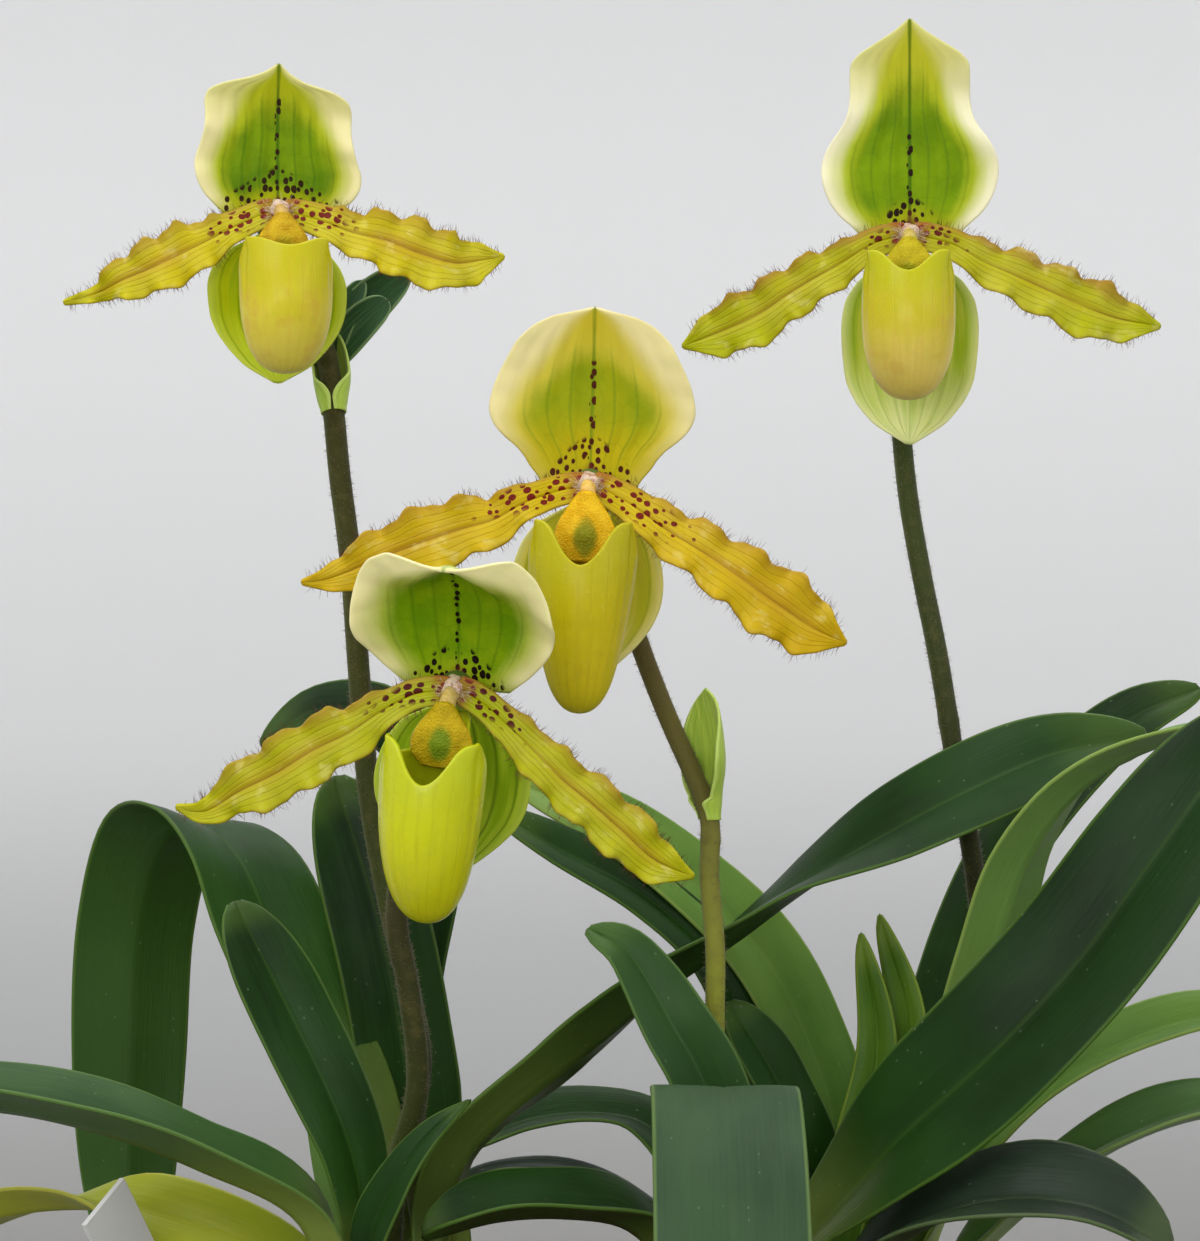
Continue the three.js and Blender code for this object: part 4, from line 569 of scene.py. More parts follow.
class Value:
    """A number in a material's node tree, so that a pattern can be written as a formula."""

    def __init__(self, shade, socket):
        self.shade = shade
        self.socket = socket

    def __add__(self, other):
        return self.shade.math("ADD", self, other)

    def __sub__(self, other):
        return self.shade.math("SUBTRACT", self, other)

    def __rsub__(self, other):
        return self.shade.math("SUBTRACT", other, self)

    def __mul__(self, other):
        return self.shade.math("MULTIPLY", self, other)

    def __truediv__(self, other):
        return self.shade.math("DIVIDE", self, other)

    def __pow__(self, other):
        return self.shade.math("POWER", self, other)

    def __abs__(self):
        return self.shade.math("ABSOLUTE", self)

    __radd__ = __add__

    def ease(self, low, high):
        """A smooth step of this value from 0 at low to 1 at high, or the other way round."""
        node = self.shade.node("MapRange", interpolation_type="SMOOTHSTEP")
        bounds = (high, low, 1, 0) if low > high else (low, high, 0, 1)
        for socket, value in zip(node.inputs, (self, *bounds)):
            self.shade.put(socket, value)
        return Value(self.shade, node.outputs[0])


class Shade:
    """A material under construction: one Principled surface and the formulas that feed it."""

    def __init__(self, name, **surface):
        self.material = bpy.data.materials.new(name)
        self.material.use_nodes = True
        self.tree = self.material.node_tree
        self.tree.nodes.clear()
        self.surface = self.node("BsdfPrincipled")
        self.tree.links.new(self.surface.outputs[0], self.node("OutputMaterial").inputs[0])
        for key, value in surface.items():
            self.surface.inputs[key.replace("_", " ")].default_value = value

    def node(self, kind, **settings):
        node = self.tree.nodes.new("ShaderNode" + kind)
        for key, setting in settings.items():
            setattr(node, key, setting)
        return node

    def put(self, socket, value):
        if isinstance(value, Value):
            self.tree.links.new(value.socket, socket)
        else:
            socket.default_value = rgb(value) if isinstance(value, str) else value

    def math(self, operation, *values):
        node = self.node("Math", operation=operation)
        for socket, value in zip(node.inputs, values):
            self.put(socket, value)
        return Value(self, node.outputs[0])

    def fields(self, names):
        """The number fields that the mesh carries under these names."""
        nodes = [self.node("Attribute", attribute_name=name) for name in names.split()]
        return [Value(self, node.outputs["Fac"]) for node in nodes]

    def place(self, x, y, z=0.0):
        node = self.node("CombineXYZ")
        for socket, value in zip(node.inputs, (x, y, z)):
            self.put(socket, value)
        return Value(self, node.outputs[0])

    def solid_place(self):
        return Value(self, self.node("TexCoord").outputs["Object"])

    def noise(self, place, scale, detail, rough=0.55):
        node = self.node("TexNoise")
        self.put(node.inputs["Vector"], place)
        for key, number in dict(Scale=scale, Detail=detail, Roughness=rough).items():
            node.inputs[key].default_value = number
        return Value(self, node.outputs["Fac"])

    def grain(self, x, y, z, detail=3):
        """Noise over a place that is made of fields."""
        return self.noise(self.place(x, y, z), 1, detail)

    def solid_grain(self, scale, detail=3, rough=0.55):
        """Noise through the object's own space, with scale bumps to a metre."""
        return self.noise(self.solid_place(), scale, detail, rough)

    def cells(self, x, y, jitter=1.0):
        """Distance to the nearest of points scattered about 1 apart, and a number for each of the points."""
        node = self.node("TexVoronoi", voronoi_dimensions="2D")
        self.put(node.inputs["Vector"], self.place(x, y))
        node.inputs["Scale"].default_value = 1
        node.inputs["Randomness"].default_value = jitter
        split = self.node("SeparateColor")
        self.tree.links.new(node.outputs["Color"], split.inputs[0])
        return Value(self, node.outputs["Distance"]), Value(self, split.outputs[0])

    def net(self, x, y):
        """Distance to the nearest edge of a net of irregular cells about 1 across."""
        node = self.node("TexVoronoi", feature="DISTANCE_TO_EDGE", voronoi_dimensions="2D")
        self.put(node.inputs["Vector"], self.place(x, y))
        node.inputs["Scale"].default_value = 1
        return Value(self, node.outputs["Distance"])

    def blend(self, share, a, b):
        """Colour a where share is 0 and b where it is 1."""
        node = self.node("Mix", data_type="RGBA")
        for socket, value in zip((node.inputs[0], node.inputs[6], node.inputs[7]), (share, a, b)):
            self.put(socket, value)
        return Value(self, node.outputs[2])

    def base(self, share, a, b):
        self.body = self.blend(share, a, b)

    def lay(self, share, colour):
        """Lays a colour over the body's colour so far, as far as share says."""
        self.body = self.blend(share, self.body, colour)

    def finish(self, roughness, height=None, depth=0.0):
        """Ends the material with its roughness, and a relief that is depth deep in millimetres."""
        self.put(self.surface.inputs["Base Color"], self.body)
        self.put(self.surface.inputs["Roughness"], roughness)
        if height:
            node = self.node("Bump")
            node.inputs["Distance"].default_value = depth * MM
            self.put(node.inputs["Height"], height)
            self.tree.links.new(node.outputs[0], self.surface.inputs["Normal"])
        return self.material


def veins(across, count, wobble, width):
    """Lines that run lengthwise: 1 on a line, 0 between. count lines stand across the half width."""
    wave = across.shade.math("PINGPONG", abs(across) * count + wobble, 0.5)
    return wave.ease(width, 0)


def leaf_material(name, deep, light, under, edge, stripes=0.25, gloss=0.42, pale_foot=1.0, rib_share=0.14):
    """A leathery leaf with fine parallel veins, a pale margin and a paler foot."""
    shade = Shade(name, Specular_IOR_Level=0.12, Coat_Weight=0.03, Coat_Roughness=0.24)
    along, across, far, wide, below, tone = shade.fields("along across far wide under tone")
    grain = shade.grain(wide * 1.6, far * 0.05, tone * 40, 4)
    cloud = shade.grain(wide * 0.06, far * 0.03, tone * 17)
    fine = shade.grain(wide * 5, far * 0.12, tone * 9, 2)
    shade.base(cloud.ease(0.35, 0.68) * 0.6 + tone * 0.4, deep, light)
    shade.lay(grain.ease(0.42, 0.72) * stripes, light)
    shade.lay(abs(across).ease(0.06, 0.01) * rib_share, edge)
    shade.lay(below.ease(0.4, 0.9) * 0.7, under)
    shade.lay(along.ease(0.6, 0.15) * 0.25 * pale_foot, "487a26")
    foot = (along - below * 0.2 + (cloud - 0.5) * 0.12).ease(0.34, 0.03)
    shade.lay(foot * 0.85 * pale_foot, "8ea04a")
    shade.lay((along + cloud * 0.06).ease(0.93, 1.0) * 0.35, edge)
    shade.lay(abs(across).ease(0.955, 1.0) * 0.6, edge)
    specks, chance = shade.cells(wide * 0.5 + tone * 70, far * 0.35)
    dust = specks.ease(0.12, 0.03) * chance.ease(0.93, 0.96)
    shade.lay(dust * 0.25, "8f9c80")
    return shade.finish(gloss + (fine - 0.5) * 0.16 + dust * 0.2, grain * 0.7 + fine * 0.3, 0.16)


def sepal_shade(name, depth, tint, **surface):
    """A material that lets a little light through. depth is how far, in millimetres."""
    return Shade(name, Subsurface_Weight=0.2, Subsurface_Scale=depth * MM, Subsurface_Radius=tint, **surface)


def dorsal_material(name, look):
    """The dorsal sepal: a green heart that fades to pale margins, dark veins and rows of dark spots."""
    shade = sepal_shade(name, 2, (0.8, 1.0, 0.3), Specular_IOR_Level=0.06)
    along, across, far, wide = shade.fields("along across far wide")
    streak = shade.grain(across * 9, far * 0.05, look["seed"])
    cloud = shade.grain(wide * 0.12, far * 0.12, look["seed"])
    fade = (streak - 0.5) * 0.2 + (cloud - 0.5) * 0.14
    heart_at, half_high, half_wide = look["heart"]
    up = (along - heart_at) / half_high
    narrower = 1 - along.ease(0.35, 0.95) * look["flame"]
    reach = ((across / narrower / half_wide) ** 2 + up * up) ** 0.5 + fade
    shade.base(cloud.ease(0.3, 0.7) * 0.6, look["heart_deep"], look["heart_light"])
    shade.lay(reach.ease(0.8, 1.14), look["ring"])
    shade.lay((reach + (abs(across) - 0.7) * 0.5).ease(1.0, 1.6), look["margin"])
    top = (along + fade * 0.3).ease(look["top_from"], look["top_from"] + 0.4)
    top = top * (abs(across) + fade * 0.5).ease(look["top_wide"], 0.0)
    shade.lay(top * 0.9, look["top"])
    low = (along + abs(across) * 0.1).ease(look["low_to"], look["low_to"] * 0.4)
    shade.lay(low * 0.85, look["low"])
    net = shade.net(across * 7, far * 0.26).ease(0.08, 0.0) * reach.ease(1.3, 0.7)
    shade.lay(net * 0.16, look["vein"])
    lines = veins(across, 4.5, fade * 0.8, 0.11) * along.ease(0.02, 0.2)
    lines = lines * reach.ease(1.35, 0.8)
    shade.lay(lines * look["vein_share"], look["vein"])
    midrib = (abs(wide) + (streak - 0.5) * 0.25).ease(0.6, 0.1)
    shade.lay(midrib * look["midrib"], look["vein"])
    distance, chance = shade.cells(wide * 0.72 + look["seed"] + 0.5, far * 0.56, jitter=0.8)
    dots = (distance - (0.16 + chance * 0.28)).ease(0.05, -0.03)
    on_rib = abs(wide).ease(0.8, 0.4) * along.ease(0.06, 0.1)
    on_rib = on_rib * along.ease(look["dots_top"], look["dots_top"] - 0.06)
    at_foot = (abs(across) * 0.5 + along * 1.9).ease(look["dots_wide"], look["dots_wide"] - 0.2)
    at_foot = at_foot * chance.ease(0.12, 0.2)
    shade.lay(dots * (on_rib + at_foot).ease(0.2, 0.6), look["dot"])
    blush = (abs(wide) * 0.09 + along * 3 + (streak - 0.5) * 0.3).ease(0.42, 0.12)
    shade.lay(blush * 0.8, "6d2a1c")
    return shade.finish(0.52 + (cloud - 0.5) * 0.2, lines * -0.5 + streak * 0.5, 0.12)


def petal_material(name, look):
    """A petal: yellow to green with a brown midline, fine veins, maroon spots and a tan upper margin."""
    shade = sepal_shade(name, 1.5, (1.0, 0.8, 0.1), Specular_IOR_Level=0.12, Coat_Weight=0.05,
                        Coat_Roughness=0.25)
    along, across, far, wide, tone = shade.fields("along across far wide tone")
    grain = shade.grain(wide * 1.3, far * 0.08, tone * 31, 4)
    cloud = shade.grain(wide * 0.2, far * 0.12, tone * 13)
    shade.base(along.ease(0.0, 0.35), look["foot"], look["middle"])
    shade.lay(along.ease(0.45, 0.95), look["tip"])
    shade.lay(cloud.ease(0.4, 0.7) * 0.5, look["patch"])
    lines = veins(across, 4.3, (grain - 0.5) * 0.7, 0.14) * abs(across).ease(0.95, 0.75)
    shade.lay(lines * grain.ease(0.35, 0.7) * 0.28, look["vein"])
    flush = (across + (cloud - 0.5) * 0.9).ease(0.45, 1.05)
    flush = flush * along.ease(look["flush_to"], look["flush_to"] - 0.35)
    shade.lay(flush * look["flush"], "a0742e")
    shade.lay(abs(across).ease(0.88, 1.0) * along.ease(0.98, 0.8) * 0.3, "8c6430")
    band = (abs(across - 0.06) + (cloud - 0.5) * 0.5).ease(0.5, 0.0)
    band = band * along.ease(0.3, 0.5) * along.ease(1.0, 0.8)
    shade.lay(band * look["band"], "b07c26")
    midline = (abs(across - 0.04) + (grain - 0.5) * 0.24).ease(0.15, 0.0) * along.ease(0.04, 0.2)
    shade.lay(midline * along.ease(1.0, 0.85) * 0.4, "94601c")
    distance, chance = shade.cells(wide * 0.62 + tone * 90, far * 0.5, jitter=0.75)
    dots = (distance - (0.16 + chance * 0.24)).ease(0.04, -0.02)
    where = (along + abs(across - 0.25) * 0.16 + chance * 0.1).ease(look["dots_to"], look["dots_to"] - 0.08)
    rows = across.ease(-0.9, -0.6) * across.ease(1.0, 0.85)
    shade.lay(dots * where * rows, look["dot"])
    shade.lay((along * 9 + cloud * 0.8).ease(0.75, 0.3) * 0.6, "8d3424")
    marks = shade.grain(wide * 0.35, far * 0.22, tone * 50, 4).ease(0.58, 0.7)
    shade.lay(marks * along.ease(0.2, 0.4) * 0.3, "e2d88a")
    return shade.finish(0.4 + (cloud - 0.5) * 0.25 - marks * 0.12, lines * -0.4 + grain * 0.6, 0.2)


def synsepal_material(name, look):
    """The joined lower sepals: green with lengthwise veins and paler streaks."""
    shade = sepal_shade(name, 2, (0.7, 1.0, 0.1), Specular_IOR_Level=0.06)
    along, across, far, wide = shade.fields("along across far wide")
    streak = shade.grain(across * 7, far * 0.04, look["seed"])
    cloud = shade.grain(wide * 0.15, far * 0.1, look["seed"])
    shade.base(streak.ease(0.35, 0.65), look["deep"], look["light"])
    pale = (along + (streak - 0.5) * 0.7 + (cloud - 0.5) * 0.3).ease(0.45, 1.05)
    shade.lay(pale * look["pale_share"], look["pale"])
    shade.lay(abs(across).ease(0.82, 1.0) * 0.5, look["pale"])
    lines = veins(across, 3.6, (streak - 0.5) * 0.2, 0.12) * along.ease(0.02, 0.12)
    shade.lay(lines * look["vein_share"], look["vein"])
    return shade.finish(0.5 + (cloud - 0.5) * 0.2, lines * -0.5 + streak * 0.5, 0.15)


def lip_material(name, look):
    """The lip: smooth and glossy with faint veins; darker at the top and lighter low down, partly a real
    peach flush, partly painted light.
    """
    shade = sepal_shade(name, 2.5, (1.0, 0.85, 0.1), Specular_IOR_Level=0.16, Coat_Weight=look["coat"],
                        Coat_Roughness=0.18)
    side, drop, inside = shade.fields("side drop inside")
    far = drop * 34.0
    streak = shade.grain(side * 26, far * 0.05, look["seed"])
    cloud = shade.grain(side * 5, far * 0.14, look["seed"])
    speck = shade.solid_grain(1100, 2)
    # Painted light: darker at the top, lighter down to the flush; partly the lip's own peach tint, partly a
    # lift of the lower half that the light from above leaves in shade.
    shade.base((drop + (cloud - 0.5) * 0.3).ease(0.1, 0.55), look["top"], look["middle"])
    shade.lay((drop + (cloud - 0.5) * 0.4).ease(0.4, 0.85) * look["flush_share"], look["flush"])
    mottle = shade.solid_grain(240, 4)
    shade.lay(mottle.ease(0.5, 0.72) * drop.ease(0.15, 0.5) * look["mottle"], look["vein"])
    lines = veins(side, 11.0, (streak - 0.5) * 1.6, 0.25) * drop.ease(0.05, 0.2)
    shade.lay(lines * cloud.ease(0.3, 0.6) * look["vein_share"], look["vein"])
    shade.lay(speck.ease(0.6, 0.75) * look["speck_share"], look["speck"])
    shade.lay(inside.ease(0.3, 0.8) * 0.4, look["inside"])
    height = lines * -0.25 + speck * 0.5 + streak * 0.25
    return shade.finish(look["gloss"] + (cloud - 0.5) * 0.16, height, 0.14)


def shield_material(name, look):
    """The shield over the pouch's mouth, ochre with fine beads and a spot, and the pale pink cushion."""
    shade = Shade(name, Specular_IOR_Level=0.12, Subsurface_Weight=0.15, Subsurface_Scale=0.0015)
    along, across, far, wide, cushion = shade.fields("along across far wide cushion")
    cloud = shade.grain(wide * 0.4, far * 0.4, look["seed"])
    bead, _ = shade.cells(wide * 2.4, far * 2.4)
    shade.base(cloud.ease(0.35, 0.65), look["deep"], look["light"])
    shade.lay(bead.ease(0.25, 0.6) * 0.2, look["deep"])
    spot = ((across * 2.2) ** 2 + ((along - look["spot_at"]) * 3) ** 2 + (cloud - 0.5) * 0.6).ease(1.1, 0.2)
    shade.lay(spot * look["spot_share"], look["spot"])
    stain = shade.solid_grain(900, 2)
    shade.lay(cushion, shade.blend(stain.ease(0.5, 0.6) * 0.6, "dfc4ae", "9c4a3c"))
    return shade.finish(0.42 + (cloud - 0.5) * 0.2, bead.ease(0.6, 0.0), 0.1)


def stalk_material(name, low, high, top):
    """A flower stalk: brown-purple over green, mottled, with a lighter end behind the bloom."""
    shade = Shade(name, Specular_IOR_Level=0.15, Sheen_Weight=0.08, Sheen_Roughness=0.5)
    along, turn = shade.fields("along turn")
    mottle, cloud = shade.solid_grain(420, 4), shade.solid_grain(60)
    shade.base((along + (cloud - 0.5) * 0.2).ease(0.15, 0.75), low, high)
    shade.lay((turn + (cloud - 0.5)).ease(0.2, 1.0) * 0.35, "5d6a35")
    shade.lay(mottle.ease(0.45, 0.7) * 0.3, "5f5630")
    shade.lay(along.ease(0.86, 0.93) * 0.8, top)
    shade.lay(along.ease(0.985, 0.998), "c9a58c")
    return shade.finish(0.62 + (mottle - 0.5) * 0.2, mottle, 0.18)


def bract_material(name, deep, light, edge, vein_share):
    shade = Shade(name, Specular_IOR_Level=0.35, Sheen_Weight=0.15, Sheen_Roughness=0.5)
    across, far, wide = shade.fields("across far wide")
    streak = shade.grain(wide * 1.5, far * 0.08, 3.7)
    lines = veins(across, 4.5, (streak - 0.5) * 0.3, 0.14)
    shade.base(streak.ease(0.3, 0.7), deep, light)
    shade.lay(lines * vein_share, deep)
    shade.lay(abs(across).ease(0.88, 1.0) * 0.6, edge)
    return shade.finish(0.5 + (streak - 0.5) * 0.2, lines * -0.5 + streak * 0.5, 0.15)


def hair_material(name, foot, tip):
    shade = Shade(name, Specular_IOR_Level=0.3)
    along, = shade.fields("along")
    shade.base(along.ease(0.1, 0.9), foot, tip)
    return shade.finish(0.55 + along * 0.1)


def bark_material(name, deep, light):
    """Weathered fir bark: brown with grey-tan broken faces."""
    shade = Shade(name, Specular_IOR_Level=0.2)
    grain = shade.solid_grain(260, 6, 0.65)
    shade.base(grain.ease(0.35, 0.7), deep, light)
    shade.lay(shade.solid_grain(70).ease(0.5, 0.75) * 0.6, "1c120c")
    return shade.finish(0.82 + (grain - 0.5) * 0.2, grain, 0.8)


def pot_material():
    """Plain dark injection-moulded plastic with a fine satin grain and a little dust in patches."""
    shade = Shade("pot_plastic", Specular_IOR_Level=0.4)
    cloud = shade.solid_grain(18, 4)
    shade.base(cloud.ease(0.35, 0.75) * 0.5, "1b1c1e", "2c2d2f")
    shade.lay(shade.solid_grain(160).ease(0.68, 0.8) * 0.35, "57544f")
    return shade.finish(0.42 + (cloud - 0.5) * 0.2, shade.solid_grain(1400, 2), 0.05)


def label_material():
    """Plastic in painted shade: a light grey where the label is white, a little scuffed and soiled."""
    shade = Shade("label_plastic", Specular_IOR_Level=0.4)
    scuff = shade.solid_grain(900, 2)
    # Painted shade: both greys are darker than the white label's own colour, as it stands in shade.
    shade.base(shade.solid_grain(90, 4).ease(0.5, 0.8) * 0.5, "d2d1cf", "b8b5ae")
    return shade.finish(0.36 + (scuff - 0.5) * 0.2, scuff, 0.03)


# ---------------------------------------------------------------- leaves


def foot_radius(height):
    return mix(FOOT["radius"], FOOT["neck"], np.clip(height / FOOT["height"], 0, 1))


def leaf_curve(leaf):
    """The midrib starts on the growth's foot and leans out of it, then follows the leaf's own path."""
    x, y = GROWTHS[leaf["growth"]]
    height = 3 + leaf["tier"] * TIER
    turn = math.radians(leaf["turn"])
    out = np.array([math.cos(turn), math.sin(turn), 0])
    reach = foot_radius(height) + LEAF_THICK
    start = np.array([x, y, BARK["top"] + BARK["bump"] + height]) + out * reach
    lean = mix(0.62, 0.32, leaf["tier"] / 4)
    following = start + out * 9 * lean + np.array([0, 0, 9])
    return Curve([start, following, *leaf["path"]])


def leaf_surface(curve, faces, width, fold, phase, ramp=0.42, tip=0.72, point=0.5):
    """A strap leaf: folded at its foot, a rounded V with slightly arched halves further out."""
    read = ribbon(curve, faces)
    foot_half = min(LEAF_FOOT["half_width"], width / 2)
    crease = 0.02  # how round the V's bottom is

    def surface(s, t):
        centre, side, face = read(s)
        widening = mix(foot_half, width / 2, ease(0, ramp, s))
        taper = np.maximum(1 - np.maximum((s - tip) / (1.005 - tip), 0) ** 2.4, 0.004) ** point
        half = widening * taper
        angle = np.radians(mix(LEAF_FOOT["fold"], fold, ease(0, 0.3, s)))
        deepest = math.sqrt(crease)
        rise = (np.sqrt(t * t + crease) - deepest) / (math.sqrt(1 + crease) - deepest)
        arch = 0.05 * min(fold / 14, 1) * np.sin(math.pi * np.abs(t))
        wave = 0.03 * np.abs(t) ** 2 * np.sin(s * 19 + phase + t) * ease(0.1, 0.4, s)
        lift = half * (rise * np.sin(angle) + arch + wave)
        return centre + side * (t * half * np.cos(angle))[..., None] + face * lift[..., None]

    return surface


def leaf_above(s, t):
    """The upper face has a groove along the midrib and thins out to the margins."""
    return 0.72 - 0.34 * np.abs(t) ** 3 - 0.14 * hump(t, 0, 0.06)


def leaf_below(s, t):
    """The lower face has a keel under the midrib."""
    return 0.6 - 0.3 * np.abs(t) ** 3 + 0.4 * hump(t, 0, 0.09)


def leaf_blade(curve, tone, **shape):
    surface = leaf_surface(curve, phase=tone * 20, **shape)
    rows = int(np.clip(curve.length / 2.3, 40, 110))
    blade = Blade(surface, spread(rows, 0.25), spread_across(19, 0.5), leaf_above, leaf_below)
    return blade.parts(tone=tone)


LEAF_KINDS = dict(  # screen codes of the deep and the light green, of the underside and of the margin
    dark=("0c2306 204210 35531f 54702c", {}),
    hanging=("203620 344c30 35531f 6c8448", dict(stripes=0.5, gloss=0.5, rib_share=0.03)),
    broad=("081c04 16340b 35531f 4c6a24", dict(gloss=0.37, pale_foot=0.6)),
    plain=("0c2306 1f400f 223a12 54702c", dict(pale_foot=0.25)),
    low=("141f14 253324 33482a 56683c", dict(gloss=0.34, pale_foot=0.4)),
    fresh=("1f3a1c 345424 3c5c28 5f7c3c", {}),
    # Painted light: lighter than the leaf's own pale green, to lift the shade that the broad leaf casts on
    # it.
    bright_painted_lit=("385628 527238 4c6c30 788c4c", {}),
    shoot=("385a12 58781e 4a6a1c 849838", {}),
    pale=("426a24 668838 648442 8ca050", {}),
    yellow=("7e8a18 a0a42a 8c9030 b4b050", dict(gloss=0.38)),
)


def make_leaves(rng):
    materials = {kind: leaf_material("leaf_" + kind, *codes.split(), **more)
                 for kind, (codes, more) in LEAF_KINDS.items()}
    slots = dict(pale="pale_leaf", yellow="yellow_leaf")
    for leaf in LEAVES:
        parts = leaf_blade(leaf_curve(leaf), rng.uniform(), **leaf["blade"])
        stand_in(leaf["name"], parts, materials[leaf["kind"]], slots.get(leaf["kind"], "leaf"))
    shape = {key: SHOOT[key] for key in ("width", "fold", "tip", "point")}
    shoots = [leaf_blade(Curve([SHOOT["foot"], *path]), rng.uniform(), faces=SHOOT_FACES, **shape)
              for path in SHOOT_PATHS]
    stand_in("young_shoot", join(*shoots), materials["shoot"], "pale_leaf")


# ---------------------------------------------------------------- stalks and bracts


def stalk_curve(stalk):
    x, y = GROWTHS[stalk["growth"]]
    matrix = matrix_of(BLOOMS[stalk["bloom"]])
    top = BARK["top"] + FOOT["height"]
    ends = move(matrix, [[0, HUB["length"] + 7, -6], [0, HUB["length"], -0.5], [0, 0, 0]])
    return Curve([[x, y, top - 8], [x, y, top], *stalk["path"], *ends])


def stalk_radius(stalk):
    """The stem, then the six-ribbed ovary, then the hub where the parts of the bloom join."""

    def radius(share, angle):
        ovary = mix(stalk["radius"], HUB["ovary"], ease(0.86, 0.92, share))
        plain = mix(ovary, HUB["radius"], ease(0.955, 0.975, share))
        plain = mix(plain, 1.9, ease(0.978, 0.992, share))
        ribs = 0.16 * np.cos(6 * angle) * ease(0.87, 0.9, share) * (1 - ease(0.94, 0.97, share))
        knots = 0.12 * hump(share, 0.52, 0.006)
        close = math.sqrt(max(1 - ((share - 0.985) / 0.0152) ** 2, 0)) if share > 0.985 else 1
        return (plain + ribs + knots) * close

    return radius


def stalk_fuzz(curve, radius, rng):
    """Roots, ways and lengths of a stalk's hairs."""
    count = int(curve.length * 15)
    places = rng.uniform(0.1, 0.975, count)
    angles = rng.uniform(0, 2 * math.pi, count)
    tangent = curve.tangent(places)
    arm = unit(np.cross(tangent, [0.3, 1, 0.2]))
    out = arm * np.cos(angles)[:, None] + np.cross(tangent, arm) * np.sin(angles)[:, None]
    reach = np.array([radius(place, 0.0) for place in places])
    roots = curve.at(places) + out * (reach[:, None] - 0.1)
    ways = out + tangent * 0.35 + rng.normal(scale=0.25, size=out.shape)
    return roots, ways, rng.uniform(0.45, 1.0, count) * np.where(places > 0.87, 1.25, 1)


def make_stalks(rng):
    fuzz = hair_material("stalk_hair", "5b4a3a", "8d8064")
    parts = (0, 0.84, 150), (0.845, 0.985, 60), (0.987, 1, 12)  # stem, ovary and rounded end
    shares = np.concatenate([np.linspace(*part) for part in parts])
    for stalk in STALKS:
        name, curve, radius = stalk["name"], stalk_curve(stalk), stalk_radius(stalk)
        x, y = GROWTHS[stalk["growth"]]
        low, high = BARK["top"] - FOOT["sunk"], BARK["top"] + FOOT["height"]
        cone = Curve([[x, y, low], [x, y, BARK["top"]], [x, y, high]])
        cone_radius = lambda share, angle: foot_radius(mix(low, high, share) - BARK["top"]) + 0 * angle
        foot = rod(cone, cone_radius, spread(24), 20)
        foot[2]["along"] *= 0.02
        material = stalk_material("stalk_" + stalk["letter"], *stalk["codes"].split())
        stand_in(name, join(foot, rod(curve, radius, shares, 18)), material, "stalk")
        tuft = stalk_fuzz(curve, radius, rng)
        add_piece("hairs_" + name, hairs([tuft], HAIR["fine"], rng), fuzz)


def bract_blade(path, face, width, wrap, foot, blunt=0.7, stalk=None, clasp=0, opens=0.7):
    """A bract curled across. One with a clasp closes round its stalk at its foot and opens further up."""
    read = ribbon(Curve(path), face)
    widest = width / 2 / math.radians(wrap)
    clasp = math.radians(clasp)
    if clasp:
        axis = stalk_curve(STALKS[stalk]).at(np.linspace(0.3, 0.85, 200))
        hug = STALKS[stalk]["radius"] + 0.25

    def surface(s, t):
        centre, side, out = read(s)
        half = width / 2 * np.maximum(np.sin(math.pi * mix(foot, 1, s)) ** blunt, 0.06)
        curl = centre + out * widest  # the middle of the curl
        bend = widest + 0 * s
        if clasp:
            height = curl[..., 2]
            stem = [np.interp(height, axis[:, 2], axis[:, k]) for k in (0, 1)]
            curl = mix(np.stack([*stem, height], axis=-1), curl, ease(0.1, 0.5, s)[..., None])
            bend = mix(hug, widest, ease(0, 0.4, s))
        turn = t * np.maximum(half / bend, clasp * (1 - ease(0.1, opens, s)))
        return curl + side * (bend * np.sin(turn))[..., None] - out * (bend * np.cos(turn))[..., None]

    def thick(s, t):
        thinner = mix(0.35, 1, ease(0, 0.12, s)) if clasp else 1
        return BRACT_THICK / 2 * thinner * (1 - 0.4 * np.abs(t) ** 3 + 0.3 * hump(t, 0, 0.08))

    return Blade(surface, spread(46, 0.3), spread_across(27), thick, thick).parts()


def make_bracts():
    green = bract_material("bract_green", "9cbc38", "b8d04e", "c8dc78", 0.22)
    dark = bract_material("bract_dark", "1e4420", "2c5628", "86a268", 0.2)
    for name, blades in BRACTS.items():
        look = (dark, "dark_bract") if name.endswith("dark") else (green, "bract")
        stand_in(name, join(*[bract_blade(**blade) for blade in blades]), *look)


# ---------------------------------------------------------------- blooms


def bloom_point(x, forward, z):
    return np.stack(np.broadcast_arrays(x, -forward, z), axis=-1)


